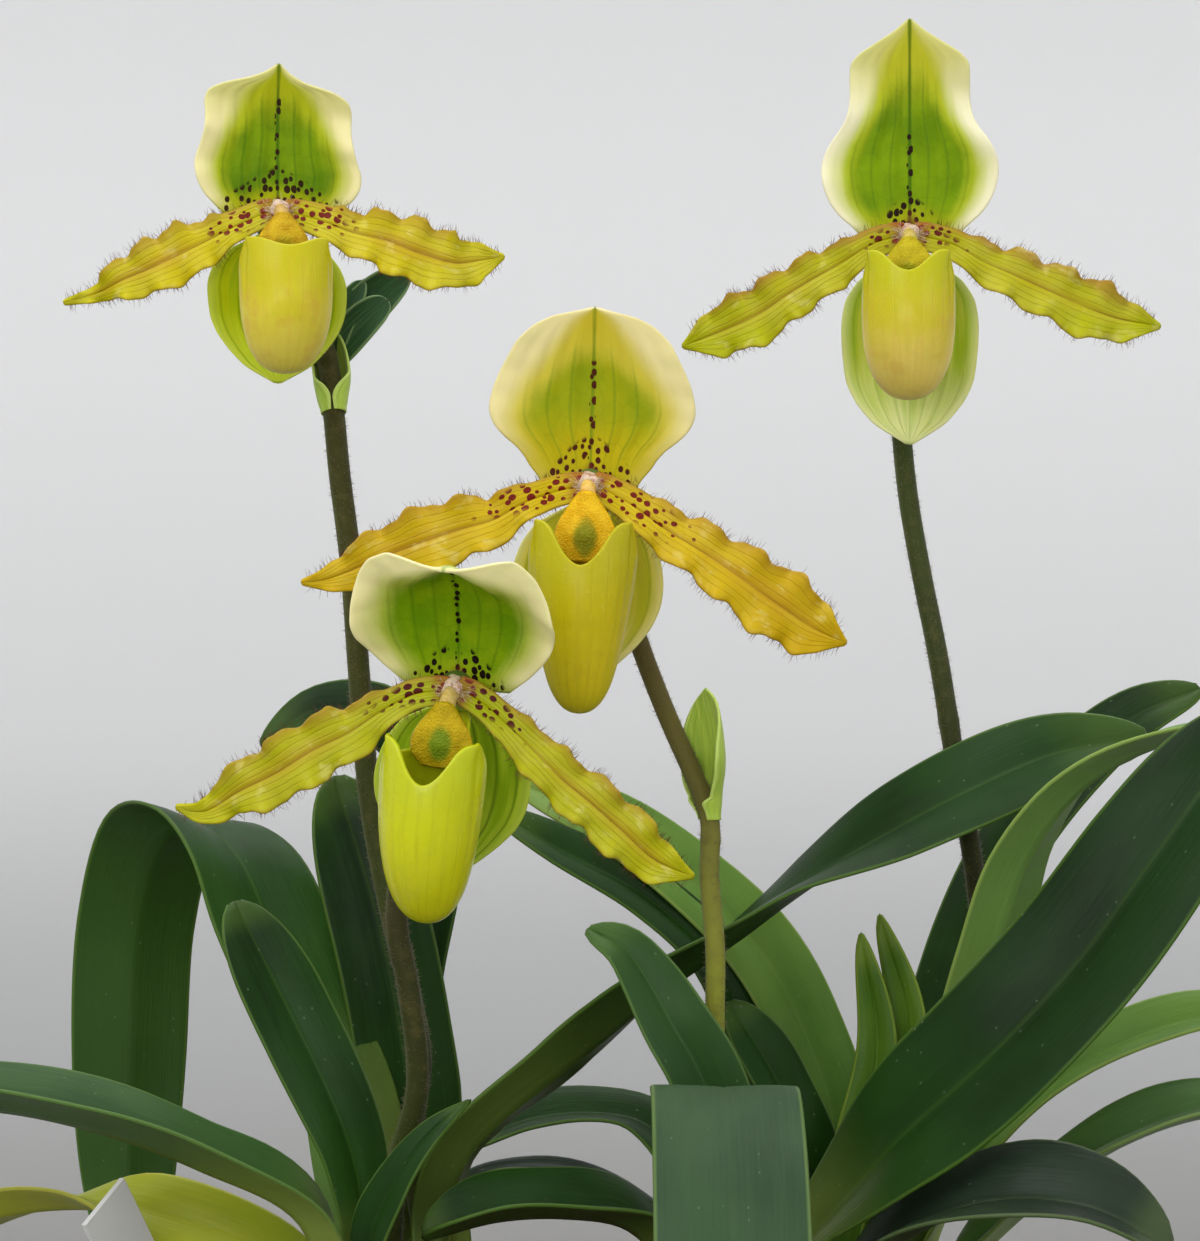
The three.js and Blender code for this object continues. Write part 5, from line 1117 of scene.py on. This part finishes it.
def dorsal_surface(length, lean, cup, wave, waves, half, slant=0.0, ears=0.0):
    """The dorsal sepal, which leans forwards further up. Ears are how high its upper corners turn up."""
    half_at = smooth_list(half)
    steps = 40
    line = [[-3.4, 0.0]]  # [forwards, up] from behind the petals' feet
    for i in range(steps):
        angle = math.radians(mix(lean[0], lean[1], ((i + 0.5) / steps) ** 1.6))
        forward, up = line[i]
        line.append([forward + math.sin(angle) * length / steps, up + math.cos(angle) * length / steps])
    curve = Curve([[0, -forward, up] for forward, up in line])
    middle_foot = 0.6 / length  # the foot clasps the hub, so its sides hang lower

    def surface(s, t):
        share = mix(mix(middle_foot, 0, ease(0.1, 0.5, np.abs(t))), 1, s)
        face = unit(np.cross(curve.tangent(share), [1.0, 0, 0]))
        face = np.where(face[..., 1:2] > 0, -face, face)
        reach = half_at(np.clip(share + slant * t * 4 * share * (1 - share), 0, 1))
        edge = np.abs(t) ** 2.4
        lift = cup * reach * edge * np.sin(math.pi * np.clip(s, 0, 1)) ** 0.7
        waved = ease(0.1, 0.4, s) * (1 - ease(0.8, 1, s))
        lift = lift + wave * edge * waved * np.sin(2 * math.pi * waves * s + t)
        turned_up = ease(0.5, 0.8, s) * (1 - ease(0.86, 1, s))
        lift = lift + ears * (0.45 * np.sin(math.pi * np.abs(t)) ** 2 - np.abs(t) ** 3) * turned_up
        below_apex = 1 - ease(0.78, 0.95, s)
        keel = -0.5 * hump(t, 0, 0.06) * ease(0.02, 0.2, s) * below_apex
        crisp = 0.08 * edge * np.sin(s * 41 + 3 * t) * ease(0.1, 0.3, s) * below_apex
        relief = lift + furrows(s, t, 0.25, 9) + keel + crisp
        return curve.at(share) + (t * reach)[..., None] * [1.0, 0, 0] + face * relief[..., None]

    return surface


def furrows(s, t, depth, count):
    """Lengthwise folds that fade out to the margins, the foot and the tip."""
    return depth * np.cos(t * count * math.pi) * (1 - t * t) * ease(0.05, 0.3, s) * (1 - ease(0.7, 0.95, s))


def petal_surface(rows, phase, at):
    curve = Curve([[x, -forward, z] for x, z, forward, _ in rows])
    width_at = smooth_list([row[3] for row in rows[:-1]] + [PETAL_TIP])
    outward = math.copysign(1, rows[0][0])
    read = ribbon(curve, [[0.1 * outward, -1, 0.25], [0, -1, 0.1], [0, -1, -0.15]])

    def surface(s, t):
        centre, side, face = read(np.maximum(s, 0))
        centre = centre + curve.tangent(0.0) * (np.minimum(s, 0) * curve.length)[..., None]
        half = width_at(s) / 2 * (1 + 5 * np.minimum(s, 0))
        grow = ease(0.06, 0.3, s) * (1 - ease(0.82, 1, s))
        crisp = np.abs(t) ** 1.6 * grow
        turn = 2 * math.pi * PETAL_WAVE["count"] * s + np.where(t > 0, 0, 1.7)
        ripple = np.abs(t) ** 3 * grow * np.sin(turn * 2.3 + phase)
        scallop = 1 + PETAL_WAVE["scallop"] * crisp * np.sin(turn + 1.2) + 0.035 * ripple
        lift = PETAL_WAVE["height"] * crisp * np.sin(turn) + PETAL_WAVE["cup"] * half * t * t
        lift = lift + 0.4 * ripple - 0.35 * hump(t, 0, 0.1) * (1 - ease(0.9, 1, s))
        return centre + side * (outward * t * half * scallop)[..., None] + face * lift[..., None] + at

    return surface


def synsepal_surface(length, half):
    half_at = smooth_list(half)

    def surface(s, t):
        reach = half_at(s)
        forward = -5.6 - 1.6 * np.sin(math.pi * s) + 3 * s * s + 0.22 * reach * t * t * ease(0.1, 0.5, s)
        return bloom_point(t * reach, forward + furrows(s, t, 0.3, 7), -3.9 - length * s)

    return surface


def lip_parts(matrix, top, notch, bottom, half, low, depth, forward):
    """The lip: rings round a slipper. Its front is at turn 0. At its back a strap climbs to the hub."""
    strap_top = -HUB["radius"] - 0.5
    sides, rings, round_steps = 96, 54, 6
    turn = np.linspace(-math.pi, math.pi, sides, endpoint=False)
    side = np.abs(turn) / math.pi

    horns = mix(notch, top, ease(0, 0.3, side))
    shoulder = mix(horns, top - 4.6, ease(0.38, 0.62, side))
    rim = mix(shoulder, strap_top, ease(0.76, 0.88, side))
    tips = hump(side, 0.32, 0.07)  # the rim's two horns

    def ring_at(share, inset, inside, raised=0.0):
        """A ring's points, with how far down each is and whether it is on the inside."""
        z = mix(rim, bottom + inset, share)
        drop = np.clip((top - z) / (top - bottom), 0, 1)
        close = (1 - np.minimum(drop, 0.999) ** 3.4) ** (1 / 2.3)
        swell = 1 + 0.1 * ease(0, 0.2, drop)
        flare = 0.9 * tips * (1 - ease(0, 0.16, share))
        crease = -0.28 * hump(side, 0.36, 0.02) * (1 - ease(0.1, 0.75, drop)) * ease(0, 0.03, share)
        reach = mix(half, low, ease(0.1, 0.8, drop)) * close * swell
        reach = np.maximum(reach - inset + flare + crease, 0.02)
        deep = np.maximum(depth * close * (1 + 0.12 * np.sin(math.pi * drop)) - inset + crease, 0.02)
        strap = np.where(side > 0.5, 1, 0) * ease(top - 1, strap_top, z)
        ahead = forward + 1.8 * np.sin(math.pi * drop) + deep * np.cos(turn)
        points = bloom_point(reach * np.sin(turn), mix(ahead, 0.2 + inset, strap * 0.9), z + raised)
        return points, drop, np.full(sides, inside)

    shares = 1 - (1 - np.arange(rings) / rings) ** 1.7
    layers = [ring_at(share, 0.0, 0.0) for share in shares[::-1]]
    for k in range(1, round_steps):
        arc = math.pi * k / round_steps
        inset = LIP_THICK * (1 - math.cos(arc)) / 2
        layers.append(ring_at(0.0, inset, inset / LIP_THICK, 0.35 * math.sin(arc)))
    layers += [ring_at(share, LIP_THICK, 1.0) for share in shares]
    points, drops, insides = zip(*layers)
    poles = [ring_at(1.0, inset, 0.0)[0].mean(axis=0) for inset in (0.0, LIP_THICK)]
    fields = dict(
        side=np.concatenate([np.tile(side, len(layers)), [0, 0]]),
        drop=np.concatenate([*drops, [1, 1]]),
        inside=np.concatenate([*insides, [0, 1]]),
    )
    return move(matrix, np.vstack([*points, *poles])), closed_rings(len(layers), sides), fields


def column_parts(matrix, width, height):
    """The column, the pale cushion above it, and the shield that it carries over the pouch's mouth."""
    line = Curve([[0, -0.6, 0], [0, -3.4, -0.3], [0, -6.4, -3]])
    ribbed = lambda share, angle: COLUMN["radius"] - 0.3 + 0.1 * np.cos(3 * angle)
    column = rod(line, ribbed, spread(20), 20)
    rise = Curve([[0, 1.6, 0.5], [0, -0.8, 0.3], [0, -2.6, -0.1]])
    round_end = lambda share, angle: 2.1 * (1 - 0.97 * share**4) ** 0.5 + 0.15 * np.cos(5 * angle)
    cushion = rod(rise, round_end, spread(24), 24)
    half_at = smooth_list([k * width / 2 for k in (0.26, 0.52, 0.76, 0.94, 1, 0.92, 0.6)])
    neck = 0.9  # how far below the bloom's middle the shield begins

    def surface(s, t):
        dome = 1.5 * (1 - t * t) * np.sin(math.pi * np.minimum(0.15 + 0.8 * s, 1))
        brim = 0.4 * np.abs(t) ** 5
        boss = 0.35 * hump(t, 0, 0.24) * hump(s, 0.62, 0.1)
        forward = COLUMN["forward"] + 1.6 * s + dome + brim + boss
        return bloom_point(t * half_at(s), forward, -mix(neck, COLUMN["drop"] + height, s))

    half_thick = lambda s, t: SHIELD_THICK / 2 * np.sqrt(np.maximum(1 - np.abs(t) ** 4 * 0.75, 0.05))
    shield = Blade(surface, spread(44, 0.6), spread_across(35, 0.6), half_thick, half_thick)
    parts = [shield.parts(cushion=0)]
    for (points, faces, fields), pale in ((column, 0.3), (cushion, 1.0)):
        none = np.zeros(len(points))
        fields = dict(along=none, across=none + 1, far=fields["along"] * 6, wide=fields["turn"], under=none,
                      cushion=none + pale)
        parts.append((points, faces, fields))
    points, faces, fields = join(*parts)
    return move(matrix, points), faces, fields


def margin_hairs(surface, rng, count, length, matrix=None, start=0.05, forward=0.3):
    """Hairs that stand out from a blade's margins."""
    s = np.sort(rng.uniform(start, 0.99, count))
    t = rng.choice((-1, 1), count).astype(float)
    edge = surface(s, t * 0.985)
    ways = unit(surface(s, t) - surface(s, t * 0.9))
    ways = ways + np.array([0, -forward, 0]) + rng.normal(scale=0.22, size=ways.shape)
    lengths = length * rng.uniform(0.5, 1.15, count)
    if matrix is not None:
        edge, ways = move(matrix, edge), ways @ matrix[0].T
    return edge, ways, lengths


def cushion_hairs(rng, matrix, count=240):
    """The short hairs of the cushion in the middle of a bloom."""
    x, z = rng.normal(scale=1.7, size=count), rng.normal(scale=0.9, size=count) - 0.3
    roots = bloom_point(x, 2.4 - 0.16 * x**2 - 0.2 * z**2, z)
    ways = np.stack([x * 0.45, np.full(count, -1.0), z * 0.5 + 0.3], axis=-1)
    ways = (ways + rng.normal(scale=0.3, size=ways.shape)) @ matrix[0].T
    return move(matrix, roots), ways, rng.uniform(0.8, 1.8, count)


def by_bloom(**columns):
    """The looks of each bloom in BLOOMS' order, from a column of four values for each key."""
    rows = [column.split() if isinstance(column, str) else column for column in columns.values()]
    return [dict(zip(columns, row)) for row in zip(*rows)]


DORSAL_LOOKS = by_bloom(
    seed=[1.0, 5.0, 9.0, 13.0],
    heart=[(0.3, 0.5, 0.69), (0.3, 0.46, 0.69), (0.26, 0.5, 0.68), (0.36, 0.52, 0.7)],
    heart_deep="567704 608002 84920a 6c9406",
    heart_light="84a006 86a408 a8a410 98b00c",
    ring="a8b01c aab424 c4b63c b8c04c",
    margin="e6dca4 eae4c0 e0d298 f0e6aa",
    top="a6a812 b4b024 c4b024 ccd094",
    top_from=[0.5, 0.5, 0.6, 0.7],
    top_wide=[1.6, 2.6, 0.75, 0.8],
    low="a8a80c a0a40c b4a20a 98a814",
    vein="375f08 3f6408 5c7c10 3a6c0a",
    vein_share=[0.4, 0.35, 0.4, 0.35],
    midrib=[0.7, 0.8, 0.5, 0.3],
    dots_top=[0.8, 0.5, 0.72, 0.8],
    dot="2c1c08 241408 481a0a 1c100a",
    flame=[0.35, 0.25, 0.2, 0.1],
    low_to=[0.22, 0.2, 0.5, 0.2],
    dots_wide=[0.66, 0.45, 0.6, 0.55],
)
PETAL_LOOKS = by_bloom(
    foot="b4ae08 a29e0a bea808 a0a80a",
    middle="c0b00c aaa60e c2a408 a8a60c",
    tip="bab40a aeb208 c2a006 b0ae0c",
    patch="ccc03c bcb634 d0b626 b8b230",
    vein="94741a 8a7218 a07a14 84741a",
    flush=[0.45, 0.75, 0.4, 0.5],
    flush_to=[1.0, 1.05, 0.95, 0.95],
    band=[0.4, 0.15, 0.28, 0.35],
    dots_to=[0.4, 0.26, 0.44, 0.36],
    dot="6f1c0c 5f180c 701a0a 50140e",
)
SYNSEPAL_LOOKS = by_bloom(
    seed=[2.0, 6.0, 10.0, 14.0],
    deep="a4b808 a2b828 c4c02c 8cac12",
    light="c4cc10 bec640 dccc44 b0c428",
    pale="c8d460 dcdea6 e8e0a4 c0cc58",
    pale_share=[0.3, 0.7, 0.5, 0.25],
    vein="5c8408 7a9a2c 7c9420 48700a",
    vein_share=[0.3, 0.35, 0.35, 0.6],
)
# top, middle and flush run from darker to lighter down each lip: partly its own colour, partly painted light
# on the shaded lower half.
LIP_LOOKS = by_bloom(
    seed=[3.0, 7.0, 11.0, 15.0],
    top="bab212 b4b20a aea60a b8c010",
    middle="ccc022 c8ba26 c4b40e ccce14",
    flush="ead660 ecd070 e6d02c d4cc1c",
    flush_share=[0.7, 0.75, 0.5, 0.4],
    vein="cc9a3c cc9a44 a08c14 9ca014",
    vein_share=[0.15, 0.15, 0.2, 0.2],
    mottle=[0.35, 0.35, 0.2, 0.12],
    speck="d6c850 d4c060 d2c650 d0d050",
    speck_share=[0.1, 0.15, 0.35, 0.1],
    inside="a89a14 9c9c14 9c8e0c 96a010",
    coat=[0.1, 0.12, 0.08, 0.3],
    gloss=[0.36, 0.34, 0.4, 0.26],
)
SHIELD_LOOKS = by_bloom(
    seed=[4.0, 8.0, 12.0, 16.0],
    deep="b48c0a ac9c0c d8a80a ac940a",
    light="cfae1c c6b41c ecc022 c8ac18",
    spot="8c9410 7c9418 7c8418 688818",
    spot_at=[0.8, 0.85, 0.66, 0.62],
    spot_share=[0.4, 0.5, 0.9, 0.9],
)


def make_bloom(number, bloom, petal_hair, pale_hair):
    rng = np.random.default_rng(20 + number)
    name, matrix = bloom["name"], matrix_of(bloom)
    half_thick = lambda s, t: PETAL_THICK / 2 * (1 - 0.45 * np.abs(t) ** 4)

    def add_sepal(part, surface, rows, columns, material, hair_count, hair_length):
        blade = Blade(surface, spread(rows, 0.3), spread_across(columns), half_thick, half_thick, matrix)
        stand_in(f"{name}_{part}", blade.parts(), material, part)
        return margin_hairs(surface, rng, hair_count, hair_length, matrix, start=0.1)

    material = dorsal_material(name + "_dorsal", DORSAL_LOOKS[number])
    fringe = add_sepal("dorsal_sepal", dorsal_surface(**bloom["dorsal"]), 64, 61, material, 260, 0.55)
    material = synsepal_material(name + "_synsepal", SYNSEPAL_LOOKS[number])
    low_fringe = add_sepal("synsepal", synsepal_surface(**bloom["synsepal"]), 56, 41, material, 160, 0.5)
    material = lip_material(name + "_lip", LIP_LOOKS[number])
    stand_in(name + "_lip", lip_parts(matrix, **bloom["lip"]), material, "lip")
    material = shield_material(name + "_shield", SHIELD_LOOKS[number])
    stand_in(name + "_column", column_parts(matrix, **bloom["shield"]), material, "column")

    material = petal_material(name + "_petal", PETAL_LOOKS[number])
    dark = []
    for rows in bloom["petals"]:
        side = "right" if rows[0][0] > 0 else "left"
        surface = petal_surface(rows, rng.uniform(0, 6), np.array(bloom["at"], float))
        shares = mix(-0.04, 1, spread(120, 0.2))
        blade = Blade(surface, shares, spread_across(23, 0.4), half_thick, half_thick)
        stand_in(f"{name}_petal_{side}", blade.parts(tone=rng.uniform()), material, "petal")
        dark.append(margin_hairs(surface, rng, 250, 2.0, forward=0.4))
    add_piece(f"hairs_{name}_petals", hairs(dark, HAIR["thick"], rng), petal_hair)
    pale = [fringe, low_fringe, cushion_hairs(rng, matrix)]
    add_piece(f"hairs_{name}_pale", hairs(pale, HAIR["fine"], rng), pale_hair)


# ---------------------------------------------------------------- pot, bark and label


def pot_inner_radius(z):
    share = (z - POT["floor"]) / (POT["height"] - POT["floor"])
    return mix(POT["foot"] - POT["wall"], POT["rim"] - POT["wall"] - POT["step"], share)


def turned_points(outline, sides):
    """Rings of points from an outline of [radius, z] that is turned about Z."""
    angles = np.linspace(0, 2 * math.pi, sides, endpoint=False)
    return np.array([[r * math.cos(a), r * math.sin(a), z] for r, z in outline for a in angles])


def make_pot(material):
    """The pot's wall turned round its axis, with rounded corners, and the drain holes cut from its floor."""
    rim, height, foot, floor = POT["rim"], POT["height"], POT["foot"], POT["floor"]
    band_low = height - POT["band"]
    body_top = mix(foot, rim - POT["step"], band_low / height)
    outline = [
        [0.01, 0], [foot - 12, 0], [foot - 2.2, 0], [foot - 0.7, 0.5], [foot, 2],
        [mix(foot, body_top, 0.5), 46], [body_top - 0.1, band_low - 0.6], [body_top + 0.4, band_low],
        [rim - 2.1, band_low + 0.7], [rim - 1.2, band_low + 1.6], [rim - 0.2, height - 2],
        [rim - 0.3, height - 0.9], [rim - 1, height - 0.2], [rim - 2, height], [rim - 3.6, height - 0.1],
        [pot_inner_radius(height - 2), height - 2], [pot_inner_radius(52), 52],
        [pot_inner_radius(floor), floor], [0.01, floor],
    ]
    sides = 128
    last = (len(outline) - 1) * sides
    ends = [list(range(sides))[::-1], [last + j for j in range(sides)]]
    faces = ring_faces(len(outline), sides) + ends
    pot = stand_in("pot", (turned_points(outline, sides), faces, {}), material, "pot")
    cutters = []
    for i in range(DRAIN["count"]):
        centre = turned(2 * math.pi * i / DRAIN["count"]) @ [DRAIN["ring"], 0, 0]
        axis = Curve([centre + [0, 0, z] for z in (DRAIN["reach"][0], 0, DRAIN["reach"][1])])
        cutters.append(rod(axis, lambda share, angle: DRAIN["radius"] + 0 * angle, spread(4), 24))
    points, faces, _ = join(*cutters)
    mesh = bpy.data.meshes.new("drain_cutter")
    mesh.from_pydata((points * MM).tolist(), [], faces)
    cutter = show("drain_cutter", mesh)
    cut = pot.modifiers.new("drain", "BOOLEAN")
    cut.object, cut.solver, cut.operation = cutter, "EXACT", "DIFFERENCE"
    graph = bpy.context.evaluated_depsgraph_get()
    cut_mesh = bpy.data.meshes.new_from_object(pot.evaluated_get(graph))
    pot.modifiers.clear()
    pot.data = cut_mesh
    bpy.data.objects.remove(cutter)
    pot.data.shade_smooth()


def bark_height(x, y):
    lumps = np.sin(x * 0.55 + 1.3 * np.sin(y * 0.31)) * np.cos(y * 0.49 + 1.7 * np.sin(x * 0.23))
    return BARK["top"] + BARK["lump"] * lumps


def make_chips(rng, materials):
    """Bark chips: flat broken blocks that lie on the bark round the feet of the growths."""
    ring = np.array([[1, 0], [0.8, 0.7], [0, 1], [-0.8, 0.75], [-1, 0], [-0.75, -0.8], [0, -1],
                     [0.8, -0.7]])
    faces = [[j, k, k + 8, j + 8] for j, k in around(8)]
    faces += [[16, k, j] for j, k in around(8)] + [[17, j + 8, k + 8] for j, k in around(8)]
    feet = [*GROWTHS.values(), SHOOT["foot"][:2]]
    batches = [[] for _ in materials]
    reach = pot_inner_radius(BARK["top"]) - 7
    for index in range(CHIPS["count"]):
        radius = reach * math.sqrt(rng.uniform(0.0, 1.0))
        angle = rng.uniform(0, 2 * math.pi)
        x, y = radius * math.cos(angle), radius * math.sin(angle)
        if any(math.hypot(x - foot_x, y - foot_y) < CHIPS["clear"] for foot_x, foot_y in feet):
            continue
        long, wide, thick = rng.uniform(4.5, 9), rng.uniform(3, 5.5), rng.uniform(1.6, 3)
        if radius + long > reach + 6:
            long = wide = 3.2
        rough = ring * (1 + rng.uniform(-0.18, 0.18, ring.shape))
        base = np.column_stack([rough * [long, wide], np.full(8, -thick / 2)])
        top = base * [0.86, 0.8, -1] + rng.uniform(-0.35, 0.35, base.shape)
        shape = np.vstack([base, top, [[0, 0, -thick * 0.6]], [[0, 0, thick * 0.62]]])
        spin, tip_x, tip_y = rng.uniform(0, 2 * math.pi), rng.normal(scale=0.2), rng.normal(scale=0.2)
        tilt = np.array([[1, 0, -tip_x], [0, 1, -tip_y], [tip_x, tip_y, 1]])
        points = shape @ (tilt @ turned(spin)).T + [x, y, bark_height(x, y) + thick * 0.22]
        batches[index % len(materials)].append((points, faces, {}))
    for number, (batch, material) in enumerate(zip(batches, materials)):
        piece = add_piece(f"bark_chips_{number + 1}", join(*batch), material, "bark")
        piece.data.shade_flat()


def dress_node(name, material):
    """A node that keeps its own shape gets its finished material."""
    for slot in bpy.data.objects[name].material_slots:
        slot.material = material


# ---------------------------------------------------------------- stage, light and camera


def make_stage():
    """A pale floor that turns up into a wall all round, in metres. Its colour holds painted shade: darker
    round the plant and low down.
    """
    floor_radius, fillet, wall, steps, sides = 1.2, 1.0, 2.4, 16, 96
    outline = [(0.001, 0.0), (floor_radius * 0.5, 0.0), (floor_radius, 0.0)]
    for k in range(1, steps + 1):
        angle = math.pi / 2 * k / steps
        outline.append((floor_radius + fillet * math.sin(angle), fillet * (1 - math.cos(angle))))
    outline.append((floor_radius + fillet, fillet + wall))
    mesh = bpy.data.meshes.new("studio")
    mesh.from_pydata(turned_points(outline, sides).tolist(), [], ring_faces(len(outline), sides))
    mesh.shade_smooth()
    shade = Shade("studio_paper", Specular_IOR_Level=0.1)
    split = shade.node("SeparateXYZ")
    shade.put(split.inputs[0], shade.solid_place())
    x, y, height = (Value(shade, output) for output in split.outputs)
    # Painted shade: the floor darkens towards the plant and the wall towards its foot; higher up the wall is
    # lighter.
    painted_light_up_wall = height.ease(-0.05, 0.6) * 0.55 + height.ease(-0.02, 0.18) * 0.45
    shade.base(((x * x + y * y) ** 0.5).ease(0.5, 1.4), "848380", "a6a6a6")
    shade.lay(painted_light_up_wall, "e4e4e4")
    mesh.materials.append(shade.finish(0.9))
    show("studio", mesh)


def add_light(name, place, size, power, colour=(1, 1, 1)):
    """A soft light on the plant, wide and high as size says. The camera doesn't see the lamp itself."""
    light = bpy.data.lights.new(name, "AREA")
    light.shape, light.energy, light.color = "RECTANGLE", power, colour
    light.size, light.size_y = size
    lamp = show(name, light)
    lamp.location = place
    lamp.visible_camera = False
    way = np.array([0, 0, 0.22]) - np.array(place)
    lamp.rotation_euler = Vector(way).to_track_quat("-Z", "Y").to_euler()


def make_lights():
    add_light("window", (-0.7, -1.0, 1.5), (1.2, 1.2), 13, (1.0, 0.99, 0.97))
    add_light("fill", (1.2, -1.1, 0.74), (1.0, 0.8), 3.8)
    add_light("low", (-0.3, -1.4, 0.38), (1.0, 0.44), 5.1)
    add_light("top", (0.1, 0.5, 1.6), (1.0, 1.0), 6)
    world = bpy.data.worlds.new("studio_air")
    world.use_nodes = True
    air = world.node_tree.nodes["Background"]
    air.inputs["Color"].default_value = (0.96, 0.97, 0.99, 1)
    air.inputs["Strength"].default_value = 1.35
    bpy.context.scene.world = world
    bpy.context.scene.view_settings.view_transform = "Standard"


def make_camera():
    """Level with the blooms' middle, looking along +Y."""
    focal_pixels, long_side, sensor = 3351, 1241, 36
    data = bpy.data.cameras.new("camera")
    data.sensor_width = sensor
    data.lens = sensor * focal_pixels / long_side
    data.clip_start, data.clip_end = 0.05, 20
    camera = show("camera", data)
    camera.location = (0, -0.62, 0.24)
    camera.rotation_euler = (math.pi / 2, 0, 0)
    bpy.context.scene.camera = camera


# ---------------------------------------------------------------- the whole plant

hair_looks = [
    hair_material("petal_hair", "6d3320", "4a241a"),
    hair_material("pale_hair", "d9c8b0", "efe6d6"),
]
make_camera()
make_stage()
make_lights()
make_leaves(np.random.default_rng(5))
make_stalks(np.random.default_rng(11))
make_bracts()
for number, bloom in enumerate(BLOOMS):
    make_bloom(number, bloom, *hair_looks)
bark = bark_material("bark_brown", "2a1a10", "6a4a30")
make_pot(pot_material())
make_chips(np.random.default_rng(8), [bark, bark_material("bark_tan", "3a2616", "8a6a48")])
dress_node("bark", bark)
dress_node("label", label_material())
